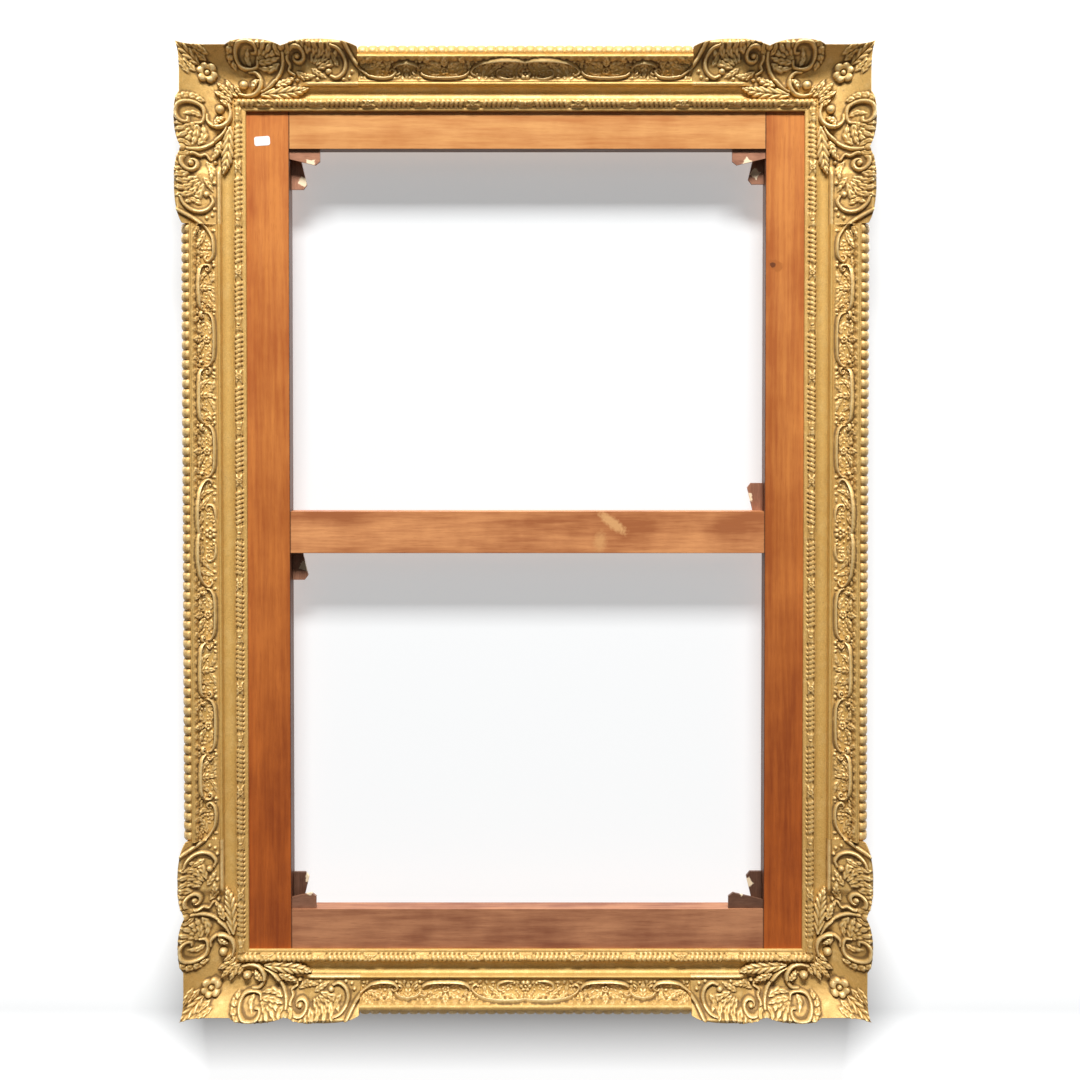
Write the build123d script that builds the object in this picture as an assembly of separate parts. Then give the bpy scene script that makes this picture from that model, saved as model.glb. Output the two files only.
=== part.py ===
from build123d import *
import os
from math import cos, hypot, radians, sin

# A gilded picture frame with a keyed stretcher in its rebate, in millimetres.
# +X is right and +Z up as seen from the front, and the front faces -Y.
# The origin is the middle of the opening, on the plane of the frame's back.

# Opening and moulding. v runs outwards from the sight edge, h forwards from the back.
SIGHT_W = 840.0
SIGHT_H = 1268.0
MOULDING_W = 98.0
CREST_H = 59.0
CREST_IN = 19.0
CREST_W = 4.0

# Rebate and lip that hold the stretcher.
REBATE_W = 13.0
REBATE_D = 32.0
LIP_T = 4.0

# Sight-edge strip, hollow, and the rim that steps up from the hollow to the band.
SIGHT_STRIP_W = 17.0
SIGHT_STRIP_T = 8.0
SIGHT_STRIP_EDGE_T = 2.0
HOLLOW_IN_V = 19.0
HOLLOW_OUT_V = 35.5
HOLLOW_OUT_H = 37.0
HOLLOW_SAG = 3.0
RIM_STEP_W = 2.0
RIM_STEP_H = 6.0
RIM_W = 4.5
RIM_RISE = 2.0
RIM_GROOVE_W = 1.5
RIM_GROOVE_D = 1.5

# Hollowed ornament band, a cast strip on a curved seat.
BAND_T = 3.0
BAND_SAG = 6.0
BAND_TOP_DROP = 4.0

# Gadrooned outer edge, a cast strip on a sloping seat.
GADROON_T = 6.0
GADROON_RISE = 3.5
GADROON_PITCH = 14.5
GADROON_SLOPE = 68.0
GADROON_DROP = 3.5

# Corner castings, on a bed planed across the rim, band and crest. Lengths run along a rail from the outer corner.
CORNER_LEN = 268.0
CORNER_T = 3.0
CORNER_SAG = 7.0
BED_RISE = 9.0
BROW_H = 64.0
BROW_IN = 3.0
LOBE_OVERHANG = 3.0
LOBE_LIP_DROP = 6.0
LOBE_RIM_W = 7.0
LOBE_RIM_H = 3.0
LOBE_V = 80.0
LOBE_HALF_V = 24.0
LOBE_START = 74.0
LOBE_GAP = 4.0
NOTCH_AT = 156.0
NOTCH_IN = 8.0
VOLUTE_R = 7.0
VOLUTE_H = 4.0
EAR_LEN = 42.0
EAR_IN = 25.0
EAR_RISE = 3.0
EAR_NECK_IN = 5.0
SPRAY_LEAVES = 3
SPRAY_LEAF_L = 34.0
SPRAY_LEAF_W = 24.0
SPRAY_LAP = 10.5
SPRAY_TURN = 20.0
SPRAY_STEP = 27.0
SPRAY_H = 11.0
ROSETTE_AT = 42.0
ROSETTE_PETAL_R = 6.2
ROSETTE_RING_R = 9.5
ROSETTE_BEAD_R = 5.0
ROSETTE_STEM_R = 4.0
ROSETTE_T = 9.0
ROSETTE_PETALS = 5
MITRE_TURN = 45.0

# Feathers glued into kerfs across the mitres.
FEATHER_T = 3.0
FEATHER_LEG = 70.0
FEATHER_H = 13.0

# Stretcher bars and how far the stretcher reaches under the lip.
STRETCHER_LAP = 9.0
STRETCHER_SHIFT_X = 3.0
STRETCHER_SHIFT_Z = 2.0
STILE_W = 70.0
BAR_RAIL_W = 67.0
CROSS_BAR_W = 63.0
TENON_T = 8.0
TENON_L = 45.0
TENON_SHOULDER = 11.0
TENON_CLEAR = 0.25
TENON_END_CLEAR = 1.0

# Stretcher keys, flat wedges. Each one's stand-out is the length left outside its slot.
KEY_L = 72.0
KEY_BUTT_W = 25.0
KEY_TIP_W = 8.0
KEY_T = 6.0
KEY_CLIP = 7.0
KEY_CLEAR = 0.3
KEY_INSET = 4.0
RAIL_KEY_OUT = {"top_left": 46.0, "top_right": 50.0, "bottom_left": 37.0, "bottom_right": 53.0}
STILE_KEY_OUT = {"top_left": 58.0, "top_right": 50.0, "bottom_left": 50.0, "bottom_right": 51.0}
BAR_KEY_OUT = {"left": 43.0, "right": 42.0}

# Turn buttons and their screws, on the backs of the side rails.
BUTTON_L = 34.0
BUTTON_W = 12.0
BUTTON_T = 1.6
BUTTON_CLEAR = 0.3
BUTTON_EDGE = 10.0
BUTTON_SPACING = 400.0
BUTTONS_A_SIDE = 3
SCREW_R = 1.9
SCREW_HEAD_R = 3.8
SCREW_HEAD_T = 1.8
SCREW_LEN = 14.0
SCREW_CLEAR = 0.2
SCREW_SEAT_CLEAR = 0.05

# Hanger straps and rings.
HANGER_Z = 330.0
HANGER_EDGE = 18.0
STRAP_L = 40.0
STRAP_W = 13.0
STRAP_T = 1.5
STRAP_SCREW_AT = 13.0
STRAP_SCREW_STEP = 17.0
RING_WIRE_R = 1.8
RING_WIRE_SIDES = 8
RING_R = 12.0
RING_CLEAR = 0.3
BARREL_WALL = 1.5

# Derived stations of the moulding profile.
CREST_V = MOULDING_W - CREST_IN
LIP_H = REBATE_D + LIP_T
RIM_IN_V = HOLLOW_OUT_V + RIM_STEP_W
RIM_OUT_V = RIM_IN_V + RIM_W
RIM_H = HOLLOW_OUT_H + RIM_STEP_H
BAND_IN_V = RIM_OUT_V + RIM_GROOVE_W
BAND_IN_H = RIM_H - RIM_GROOVE_D
BAND_OUT_V = CREST_V - CREST_W / 2
BAND_OUT_H = CREST_H - BAND_TOP_DROP
SLOPE = radians(GADROON_SLOPE)
SEAT_TOP = (CREST_V + CREST_W / 2, CREST_H - GADROON_DROP)
SEAT_LOW_V = MOULDING_W - GADROON_T * sin(SLOPE)
SEAT_LEN = (SEAT_LOW_V - SEAT_TOP[0]) / cos(SLOPE)
SEAT_LOW = (SEAT_LOW_V, SEAT_TOP[1] - SEAT_LEN * sin(SLOPE))

# Derived sizes of the stretcher.
STRETCHER_W = SIGHT_W + 2 * STRETCHER_LAP
STRETCHER_H = SIGHT_H + 2 * STRETCHER_LAP
STRETCHER_T = REBATE_D
STILE_INNER_X = STRETCHER_W / 2 - STILE_W
RAIL_INNER_Z = STRETCHER_H / 2 - BAR_RAIL_W
TENON_H_MID = STRETCHER_T / 2
FRONT_KEY_H = STRETCHER_T - KEY_INSET - KEY_T / 2
BACK_KEY_H = KEY_INSET + KEY_T / 2

# One plane for each side, with x along the rail, y outwards and z forwards.
FORWARD = (0, -1, 0)
SIDES = {
    "top": (SIGHT_W, Plane((0, 0, SIGHT_H / 2), x_dir=(1, 0, 0), z_dir=FORWARD)),
    "bottom": (SIGHT_W, Plane((0, 0, -SIGHT_H / 2), x_dir=(-1, 0, 0), z_dir=FORWARD)),
    "right": (SIGHT_H, Plane((SIGHT_W / 2, 0, 0), x_dir=(0, 0, -1), z_dir=FORWARD)),
    "left": (SIGHT_H, Plane((-SIGHT_W / 2, 0, 0), x_dir=(0, 0, 1), z_dir=FORWARD)),
}
CORNERS = {"top_right": (1, 1), "top_left": (-1, 1), "bottom_right": (1, -1), "bottom_left": (-1, -1)}


def bowed(start, end, sag):
    """Arc from start to end whose middle lies sag to the right of the chord."""
    run = (end[0] - start[0], end[1] - start[1])
    length = hypot(*run)
    middle = (start[0] + end[0]) / 2, (start[1] + end[1]) / 2
    bow = (middle[0] + run[1] / length * sag, middle[1] - run[0] / length * sag)
    return ThreePointArc(start, bow, end)


def band_arc(lift):
    """Hollow curve of the ornament band, lifted off its seat, with the seat's own centre."""
    run = (BAND_OUT_V - BAND_IN_V, BAND_OUT_H - BAND_IN_H)
    chord = hypot(*run)
    radius = chord * chord / (8 * BAND_SAG) + BAND_SAG / 2
    middle = ((BAND_IN_V + BAND_OUT_V) / 2, (BAND_IN_H + BAND_OUT_H) / 2)
    rise = radius - BAND_SAG
    centre = (middle[0] - run[1] / chord * rise, middle[1] + run[0] / chord * rise)
    ends = []
    for v, h in ((BAND_IN_V, BAND_IN_H), (BAND_OUT_V, BAND_OUT_H)):
        share = (radius - lift) / radius
        ends.append((centre[0] + (v - centre[0]) * share, centre[1] + (h - centre[1]) * share))
    first, last = ends
    low = (centre[0] + run[1] / chord * (radius - lift), centre[1] - run[0] / chord * (radius - lift))
    return first, last, ThreePointArc(first, low, last)


def along(face, length):
    """A section in (v, h) drawn out along a rail, half each way."""
    return extrude(Plane.YZ * face, amount=length / 2, both=True)


def mitre_block(length, reach, depth):
    """The room between a side's two mitre planes."""
    half = length / 2
    plan = Polygon((-half, 0), (half, 0), (half + reach, reach), (-half - reach, reach), align=None)
    return extrude(plan, amount=depth)


def rail_section():
    """Wooden section of the moulding, without the cast strips."""
    first, last, seat = band_arc(0)
    edges = [
        Polyline((REBATE_W, 0), (SEAT_LOW[0], 0), SEAT_LOW, SEAT_TOP, (SEAT_TOP[0], CREST_H)),
        Polyline((SEAT_TOP[0], CREST_H), (BAND_OUT_V, CREST_H), last),
        seat,
        Polyline(first, (RIM_OUT_V, BAND_IN_H), (RIM_OUT_V, RIM_H)),
        ThreePointArc((RIM_OUT_V, RIM_H), (RIM_IN_V + RIM_W / 2, RIM_H + RIM_RISE), (RIM_IN_V, RIM_H)),
        Line((RIM_IN_V, RIM_H), (HOLLOW_OUT_V, HOLLOW_OUT_H)),
        bowed((HOLLOW_OUT_V, HOLLOW_OUT_H), (HOLLOW_IN_V, LIP_H), -HOLLOW_SAG),
        Polyline((HOLLOW_IN_V, LIP_H), (0, LIP_H), (0, REBATE_D), (REBATE_W, REBATE_D), (REBATE_W, 0)),
    ]
    return make_face(Curve() + edges)


def band_section(thickness):
    """Cast ornament band on its hollow seat."""
    first, last, seat = band_arc(0)
    top_first, top_last, top = band_arc(thickness)
    return make_face(Curve() + [seat, Line(last, top_last), top, Line(top_first, first)])


def sight_section():
    """Rounded cast strip that lies on the lip."""
    edge = LIP_H + SIGHT_STRIP_EDGE_T
    return make_face(
        Curve()
        + [
            Polyline((SIGHT_STRIP_W, edge), (SIGHT_STRIP_W, LIP_H), (0, LIP_H), (0, edge)),
            ThreePointArc((0, edge), (SIGHT_STRIP_W / 2, LIP_H + SIGHT_STRIP_T), (SIGHT_STRIP_W, edge)),
        ]
    )


def gadroon_strip(length):
    """Row of round lobes that run across the outer slope."""
    count = round(length / GADROON_PITCH)
    pitch = length / count
    valley = GADROON_T - GADROON_RISE
    edges = [Polyline((-length / 2, valley), (-length / 2, 0), (length / 2, 0), (length / 2, valley))]
    for i in range(count):
        right = length / 2 - i * pitch
        edges.append(ThreePointArc((right, valley), (right - pitch / 2, GADROON_T), (right - pitch, valley)))
    seat = Plane((0, *SEAT_LOW), x_dir=(1, 0, 0), z_dir=(0, -cos(SLOPE), sin(SLOPE)))
    return extrude(seat * make_face(Curve() + edges), amount=SEAT_LEN)


def bed_room(length):
    """What is planed off a rail, from the hollow out, to seat a corner casting."""
    low = HOLLOW_OUT_H - CORNER_T
    rise = BED_RISE / (SEAT_TOP[0] - HOLLOW_OUT_V)
    room = Polygon(
        (HOLLOW_OUT_V, low),
        (HOLLOW_OUT_V + MOULDING_W, low + rise * MOULDING_W),
        (HOLLOW_OUT_V + MOULDING_W, 2 * CREST_H),
        (HOLLOW_OUT_V, 2 * CREST_H),
        align=None,
    )
    return along(room, length)


def corner_body(lift, length):
    """Corner section drawn out: the hollow carried on to a rim that stands over the outer slope."""
    first = (HOLLOW_OUT_V, HOLLOW_OUT_H + lift)
    brow = (MOULDING_W - BROW_IN, BROW_H + lift)
    lip = (MOULDING_W + 2 * LOBE_OVERHANG, BROW_H - LOBE_LIP_DROP)
    edges = [
        Polyline(lip, SEAT_LOW, (SEAT_LOW[0], REBATE_D / 2), (HOLLOW_OUT_V, REBATE_D / 2), first),
        bowed(first, brow, CORNER_SAG),
        bowed(brow, lip, -BROW_IN / 2),
    ]
    return along(make_face(Curve() + edges), length)


def lobe_rim(start, end):
    """Plan of the rolled rim round one lobe, between two places along the rail."""
    size = (end - start, 2 * LOBE_HALF_V)
    ring = SlotOverall(*size) - SlotOverall(size[0] - 2 * LOBE_RIM_W, size[1] - 2 * LOBE_RIM_W)
    return Pos(MOULDING_W - (start + end) / 2, LOBE_V) * ring


def rosette(top):
    """Petals round a bead, standing on the lip's level."""
    height = top - LIP_H
    low = (Align.CENTER, Align.CENTER, Align.MIN)
    flower = Cylinder(ROSETTE_STEM_R, height, align=low) + Pos(0, 0, height) * Sphere(ROSETTE_BEAD_R)
    for i in range(ROSETTE_PETALS):
        turn = Rot(0, 0, 360 / ROSETTE_PETALS * i + MITRE_TURN)
        flower = flower + turn * Pos(ROSETTE_RING_R, 0, 0) * Cylinder(ROSETTE_PETAL_R, height, align=low)
    return Pos(0, 0, LIP_H) * flower


def corner_ornament():
    """One corner casting, with its origin at the sight corner and both legs alike about the mitre."""
    far = CORNER_LEN + MOULDING_W
    room = 2 * CREST_H
    wood = along(rail_section(), 2 * far) - bed_room(2 * far)

    # Outline of one leg, from the mitre out along the rail: ear, plain panel and two lobes.
    end = MOULDING_W - CORNER_LEN
    tip = (MOULDING_W, MOULDING_W)
    neck = (MOULDING_W - EAR_LEN, MOULDING_W - EAR_NECK_IN)
    rise = (MOULDING_W - LOBE_START, MOULDING_W - EAR_NECK_IN)
    notch = (MOULDING_W - NOTCH_AT, MOULDING_W - NOTCH_IN)
    tail = (end, MOULDING_W - NOTCH_IN)
    outline = [
        bowed(tip, neck, -EAR_NECK_IN / 2),
        Line(neck, rise),
        bowed(rise, notch, LOBE_OVERHANG + (EAR_NECK_IN + NOTCH_IN) / 2),
        bowed(notch, tail, LOBE_OVERHANG + NOTCH_IN),
        Polyline(tail, (end, HOLLOW_OUT_V), (HOLLOW_OUT_V, HOLLOW_OUT_V), tip),
    ]
    plan = extrude(make_face(Curve() + outline), amount=room)
    leg = corner_body(0, 2 * far) & plan

    # Raised forms: the rolled rims of the lobes, the volutes beside the notch and the ear.
    apart = LOBE_GAP / 2
    raised = lobe_rim(LOBE_START, NOTCH_AT - apart) + lobe_rim(NOTCH_AT + apart, CORNER_LEN + apart)
    leg = leg + (corner_body(LOBE_RIM_H, 2 * far) & extrude(raised, amount=room) & plan)
    curl = Pos(MOULDING_W - NOTCH_AT, BAND_IN_V + VOLUTE_R + apart) * Circle(VOLUTE_R)
    curls = Pos(VOLUTE_R + apart, 0) * curl + Pos(-VOLUTE_R - apart, 0) * curl
    leg = leg + (corner_body(VOLUTE_H, 2 * far) & extrude(curls, amount=room))
    ear_in = MOULDING_W - EAR_IN
    ear = extrude(Polygon(tip, neck, (ear_in, ear_in), align=None), amount=room)
    leg = leg + (corner_body(EAR_RISE, 2 * far) & ear & plan)

    # Leaves of the spray that lies in the hollow, over the casting's inner edge.
    spray_v = HOLLOW_OUT_V + SPRAY_LAP - SPRAY_LEAF_W / 2
    leaves = [
        Pos(spray_v - SPRAY_STEP * i, spray_v) * Rot(0, 0, -SPRAY_TURN)
        * SlotOverall(SPRAY_LEAF_L, SPRAY_LEAF_W)
        for i in range(SPRAY_LEAVES)
    ]
    spray = leaves[0]
    for leaf in leaves[1:]:
        spray = spray + leaf
    floor = Polygon((-far, HOLLOW_IN_V), (HOLLOW_IN_V, HOLLOW_IN_V), (far, far), (-far, far), align=None)
    leg = leg + (extrude(spray, amount=HOLLOW_OUT_H + SPRAY_H) & extrude(floor, amount=room))

    # Rosette on the mitre, in the hollow of the corner.
    at = MOULDING_W - ROSETTE_AT
    flower = Pos(at, at, 0) * rosette(HOLLOW_OUT_H + ROSETTE_T)
    half = extrude(Polygon((-far, 0), (0, 0), (far, far), (-far, far), align=None), amount=room)
    leg = leg + (flower & half) - wood
    return leg + mirror(leg, about=Plane((0, 0, 0), x_dir=(0, 0, 1), z_dir=(1, -1, 0)))


def at_corner(shape, signs):
    """Carry a piece made for the top right to another corner by mirroring."""
    if signs[0] < 0:
        shape = mirror(shape, about=Plane.YZ)
    if signs[1] < 0:
        shape = mirror(shape, about=Plane.XY)
    return shape


def feather_plate():
    """Thin triangle across the outer corner, at the top right."""
    x = SIGHT_W / 2 + SEAT_LOW[0]
    z = SIGHT_H / 2 + SEAT_LOW[0]
    plan = Polygon((x, z), (x - FEATHER_LEG, z), (x, z - FEATHER_LEG), align=None)
    return Pos(0, -FEATHER_H, 0) * extrude(Plane.XZ * plan, amount=FEATHER_T)


def bar(x_size, z_size, x, z):
    """Stretcher bar, its back on the frame's back plane."""
    return Pos(x, 0, z) * Box(x_size, STRETCHER_T, z_size, align=(Align.CENTER, Align.MAX, Align.CENTER))


def tenon(width, clear, end_clear):
    """Tenon that points to +X from a shoulder at x = 0, or the mortise for it."""
    size = (TENON_L + end_clear, TENON_T + 2 * clear, width - 2 * TENON_SHOULDER + 2 * clear)
    return Pos(0, -TENON_H_MID, 0) * Box(*size, align=(Align.MIN, Align.CENTER, Align.CENTER))


def key_plan(stand_out, clear):
    """Wedge outline: x out of the slot, y away from the bar that it lies along."""
    inside = KEY_L - stand_out
    slope = (KEY_BUTT_W - KEY_TIP_W) / KEY_L
    if clear:
        tip = KEY_TIP_W + 2 * clear - slope * clear
        mouth = KEY_TIP_W + 2 * clear + slope * inside
        return Polygon((-inside - clear, 0), (0, 0), (0, mouth), (-inside - clear, tip), align=None)
    return Polygon(
        (-inside, KEY_CLEAR),
        (stand_out, KEY_CLEAR),
        (stand_out, KEY_CLEAR + KEY_BUTT_W - KEY_CLIP),
        (stand_out - KEY_CLIP, KEY_CLEAR + KEY_BUTT_W - slope * KEY_CLIP),
        (-inside, KEY_CLEAR + KEY_TIP_W),
        align=None,
    )


def key(stand_out, clear, layer, origin, out, away):
    """Wedge, or with a clearance its slot: origin is the inner corner, out and away are unit directions."""
    thickness = KEY_T + 2 * clear
    normal = (0, out[2] * away[0] - out[0] * away[2], 0)
    plane = Plane((origin[0], -layer, origin[1]), x_dir=out, z_dir=normal)
    return extrude(plane * key_plan(stand_out, clear), amount=thickness / 2, both=True)


def screw(x, z, lift):
    """Round-head screw driven forwards from the back, its head lifted by what it holds."""
    shank = Cylinder(SCREW_R, SCREW_LEN + lift, align=(Align.CENTER, Align.CENTER, Align.MAX))
    head = Cylinder(SCREW_HEAD_R, SCREW_HEAD_T, align=(Align.CENTER, Align.CENTER, Align.MIN))
    head = chamfer(head.faces().sort_by(Axis.Z)[-1].edges(), SCREW_HEAD_T / 2)
    return Pos(x, lift, z) * Rot(-90, 0, 0) * (shank + head)


def screw_hole(x, z, clear, depth):
    """Round hole for a screw, reaching depth in front of the back plane and through what lies behind it."""
    hole = Cylinder(SCREW_R + clear, 2 * depth)
    return Pos(x, 0, z) * Rot(90, 0, 0) * hole


def turn_button(x, z, side):
    """Flat button on its screw, with its long end over the stretcher."""
    reach = BUTTON_L / 2 - BUTTON_W / 2
    plan = Pos(-side * reach, 0) * SlotOverall(BUTTON_L, BUTTON_W) - Circle(SCREW_R + SCREW_CLEAR)
    return Pos(x, BUTTON_CLEAR, z) * extrude(Plane.XZ * plan, amount=-BUTTON_T)


def hanger_strap(x, side):
    """Strap plate with the rolled barrel that holds the ring, on the right for side 1."""
    outer = RING_WIRE_R + RING_CLEAR + BARREL_WALL
    plate_box = Box(STRAP_L, STRAP_T, STRAP_W, align=(Align.MIN, Align.MIN, Align.CENTER))
    roll = Pos(0, outer, 0) * (Cylinder(outer, STRAP_W) - Cylinder(RING_WIRE_R + RING_CLEAR, STRAP_W))
    plate = plate_box - Pos(0, outer, 0) * Cylinder(RING_WIRE_R + RING_CLEAR, STRAP_W)
    strap = fillet((plate + roll).edges().filter_by(Axis.Y).group_by(Axis.X)[-1], STRAP_W / 3)
    for i in range(2):
        strap = strap - screw_hole(STRAP_SCREW_AT + i * STRAP_SCREW_STEP, 0, SCREW_SEAT_CLEAR, SCREW_LEN)
    return Pos(x, 0, HANGER_Z) * (strap if side > 0 else mirror(strap, about=Plane.YZ))


def hanger_ring(x, side):
    """D-shaped wire ring: a bar in the barrel and a bow towards the opening."""
    y = RING_WIRE_R + RING_CLEAR + BARREL_WALL
    path = ThreePointArc((0, 0, RING_R), (-side * RING_R, 0, 0), (0, 0, -RING_R))
    wire = RegularPolygon(RING_WIRE_R, RING_WIRE_SIDES)
    bow = sweep(Plane((0, 0, RING_R), z_dir=(-side, 0, 0)) * wire, path=path)
    length = 2 * (RING_R + RING_WIRE_R)
    pin = extrude(Pos(0, 0, -length / 2) * wire, amount=length)
    return Pos(x, y, HANGER_Z) * (bow + pin)


nodes = {}

# Moulding rails and their cast strips.
rail_face = rail_section()
strip_cut = 2 * (MOULDING_W - CORNER_LEN)
for side, (length, plane) in SIDES.items():
    block = mitre_block(length, MOULDING_W, CREST_H)
    beds = bed_room(length + 2 * MOULDING_W) - bed_room(length + strip_cut)
    nodes["rail_" + side] = plane * ((along(rail_face, length + 2 * MOULDING_W) & block) - beds)
    nodes["sight_edge_" + side] = plane * (along(sight_section(), length + 2 * MOULDING_W) & block)
    nodes["band_" + side] = plane * along(band_section(BAND_T), length + strip_cut)
    nodes["gadroon_" + side] = plane * gadroon_strip(length + strip_cut)

# Corner castings and mitre feathers.
corner_plane = Plane((SIGHT_W / 2, 0, SIGHT_H / 2), x_dir=(1, 0, 0), z_dir=FORWARD)
corner = corner_plane * corner_ornament()
for name, signs in CORNERS.items():
    nodes["corner_" + name] = at_corner(corner, signs)
    plate = at_corner(feather_plate(), signs)
    nodes["mitre_feather_" + name] = plate
    for side in name.split("_"):
        nodes["rail_" + side] = nodes["rail_" + side] - plate

# Stretcher bars: the stiles run full height, the rails and the cross bar are tenoned into them.
centre = Pos(STRETCHER_SHIFT_X, 0, STRETCHER_SHIFT_Z)
bars = {
    "stile_left": bar(STILE_W, STRETCHER_H, -STRETCHER_W / 2 + STILE_W / 2, 0),
    "stile_right": bar(STILE_W, STRETCHER_H, STRETCHER_W / 2 - STILE_W / 2, 0),
}
cross_bar_z = -STRETCHER_SHIFT_Z
cross_bars = {
    "rail_top": (BAR_RAIL_W, RAIL_INNER_Z + BAR_RAIL_W / 2),
    "rail_bottom": (BAR_RAIL_W, -RAIL_INNER_Z - BAR_RAIL_W / 2),
    "cross_bar": (CROSS_BAR_W, cross_bar_z),
}
for name, (width, z) in cross_bars.items():
    tongue = tenon(width, 0, 0)
    mortise = tenon(width, TENON_CLEAR, TENON_END_CLEAR)
    right = Pos(STILE_INNER_X, 0, z)
    left = Pos(-STILE_INNER_X, 0, z) * Rot(0, 0, 180) * Pos(0, STRETCHER_T, 0)
    bars[name] = bar(2 * STILE_INNER_X, width, 0, z) + right * tongue + left * tongue
    bars["stile_right"] = bars["stile_right"] - right * mortise
    bars["stile_left"] = bars["stile_left"] - left * mortise

# Keys: at each corner one along the rail in front and one along the stile behind,
# and one at each end of the cross bar.
keys = {}
for name, signs in CORNERS.items():
    edge, stile = name.split("_")
    origin = (signs[0] * STILE_INNER_X, signs[1] * RAIL_INNER_Z)
    inward_x = (-signs[0], 0, 0)
    inward_z = (0, 0, -signs[1])
    keys[name + "_rail"] = ("stile_" + stile, RAIL_KEY_OUT[name], FRONT_KEY_H, origin, inward_x, inward_z)
    keys[name + "_stile"] = ("rail_" + edge, STILE_KEY_OUT[name], BACK_KEY_H, origin, inward_z, inward_x)
low_end = (-STILE_INNER_X, cross_bar_z - CROSS_BAR_W / 2)
high_end = (STILE_INNER_X, cross_bar_z + CROSS_BAR_W / 2)
keys["bar_left"] = ("cross_bar", BAR_KEY_OUT["left"], BACK_KEY_H, low_end, (0, 0, -1), (1, 0, 0))
keys["bar_right"] = ("cross_bar", BAR_KEY_OUT["right"], BACK_KEY_H, high_end, (0, 0, 1), (-1, 0, 0))
for name, (slotted, *where) in keys.items():
    stand_out, *rest = where
    bars[slotted] = bars[slotted] - key(stand_out, KEY_CLEAR, *rest)
    nodes["key_" + name] = centre * key(stand_out, 0, *rest)
for name, shape in bars.items():
    nodes["stretcher_" + name] = centre * shape

# Turn buttons and hangers on the backs of the side rails.
button_x = SIGHT_W / 2 + REBATE_W + BUTTON_EDGE
strap_x = SIGHT_W / 2 + REBATE_W + HANGER_EDGE
button_screws = []
hanger_screws = []
for side, sign in (("left", -1), ("right", 1)):
    rail = nodes["rail_" + side]
    for i in range(BUTTONS_A_SIDE):
        z = (i - (BUTTONS_A_SIDE - 1) / 2) * BUTTON_SPACING
        nodes[f"turn_button_{side}_{i + 1}"] = turn_button(sign * button_x, z, sign)
        button_screws.append(screw(sign * button_x, z, BUTTON_T + 2 * BUTTON_CLEAR))
        rail = rail - screw_hole(sign * button_x, z, SCREW_SEAT_CLEAR, SCREW_LEN)
    nodes["hanger_strap_" + side] = hanger_strap(sign * strap_x, sign)
    nodes["hanger_ring_" + side] = hanger_ring(sign * strap_x, sign)
    for i in range(2):
        x = sign * (strap_x + STRAP_SCREW_AT + i * STRAP_SCREW_STEP)
        hanger_screws.append(screw(x, HANGER_Z, STRAP_T))
        rail = rail - screw_hole(x, HANGER_Z, SCREW_SEAT_CLEAR, SCREW_LEN)
    nodes["rail_" + side] = rail
nodes["turn_button_screws"] = Compound(children=button_screws)
nodes["hanger_screws"] = Compound(children=hanger_screws)

os.makedirs("parts", exist_ok=True)
for name, shape in nodes.items():
    export_step(shape, f"parts/{name}.step")
print(len(nodes), "nodes")
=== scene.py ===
import math

import bpy
import numpy as np
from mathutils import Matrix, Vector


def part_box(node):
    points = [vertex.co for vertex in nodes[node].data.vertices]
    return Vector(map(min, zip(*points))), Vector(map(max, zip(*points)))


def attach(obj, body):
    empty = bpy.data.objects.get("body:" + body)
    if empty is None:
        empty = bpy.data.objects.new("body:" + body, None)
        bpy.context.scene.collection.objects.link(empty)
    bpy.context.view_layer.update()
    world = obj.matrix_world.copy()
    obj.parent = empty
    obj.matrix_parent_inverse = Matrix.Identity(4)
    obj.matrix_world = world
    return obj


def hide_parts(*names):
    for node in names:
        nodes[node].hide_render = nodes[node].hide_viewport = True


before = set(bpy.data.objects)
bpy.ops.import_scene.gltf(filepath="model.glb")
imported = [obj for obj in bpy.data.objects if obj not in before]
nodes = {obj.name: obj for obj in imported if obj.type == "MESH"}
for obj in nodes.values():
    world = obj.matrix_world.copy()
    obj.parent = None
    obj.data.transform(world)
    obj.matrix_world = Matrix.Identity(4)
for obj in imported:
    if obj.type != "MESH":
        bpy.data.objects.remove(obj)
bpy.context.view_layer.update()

halfW = -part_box("sight_edge_left")[1].x * 1000  # half the opening, in mm
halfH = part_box("sight_edge_top")[0].z * 1000
print("frame loaded, opening", round(2 * halfW), "by", round(2 * halfH), "mm")

# Lines of the moulding in mm: v runs out from the sight edge, h forwards from the back.
moulding = {
    "width": 98.0, "hollowIn": (19.0, 36.0), "hollowOut": (35.5, 37.0), "hollowSag": 3.0,
    "bandIn": (43.5, 41.5), "bandOut": (74.4, 57.0), "bandSag": 9.4,
    "cornerLength": 268.0, "brow": (95.0, 70.2), "cornerSag": 10.6,
}


# Where a point (t along, v out, h forwards) of a side lies, in metres.
def sidePlace(side, t, v, h):
    if side == "top":
        x, z = t, halfH + v
    elif side == "bottom":
        x, z = -t, -halfH - v
    elif side == "right":
        x, z = halfW + v, -t
    else:
        x, z = -halfW - v, t
    return np.stack([x, -h, z], axis=-1) / 1000


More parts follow.
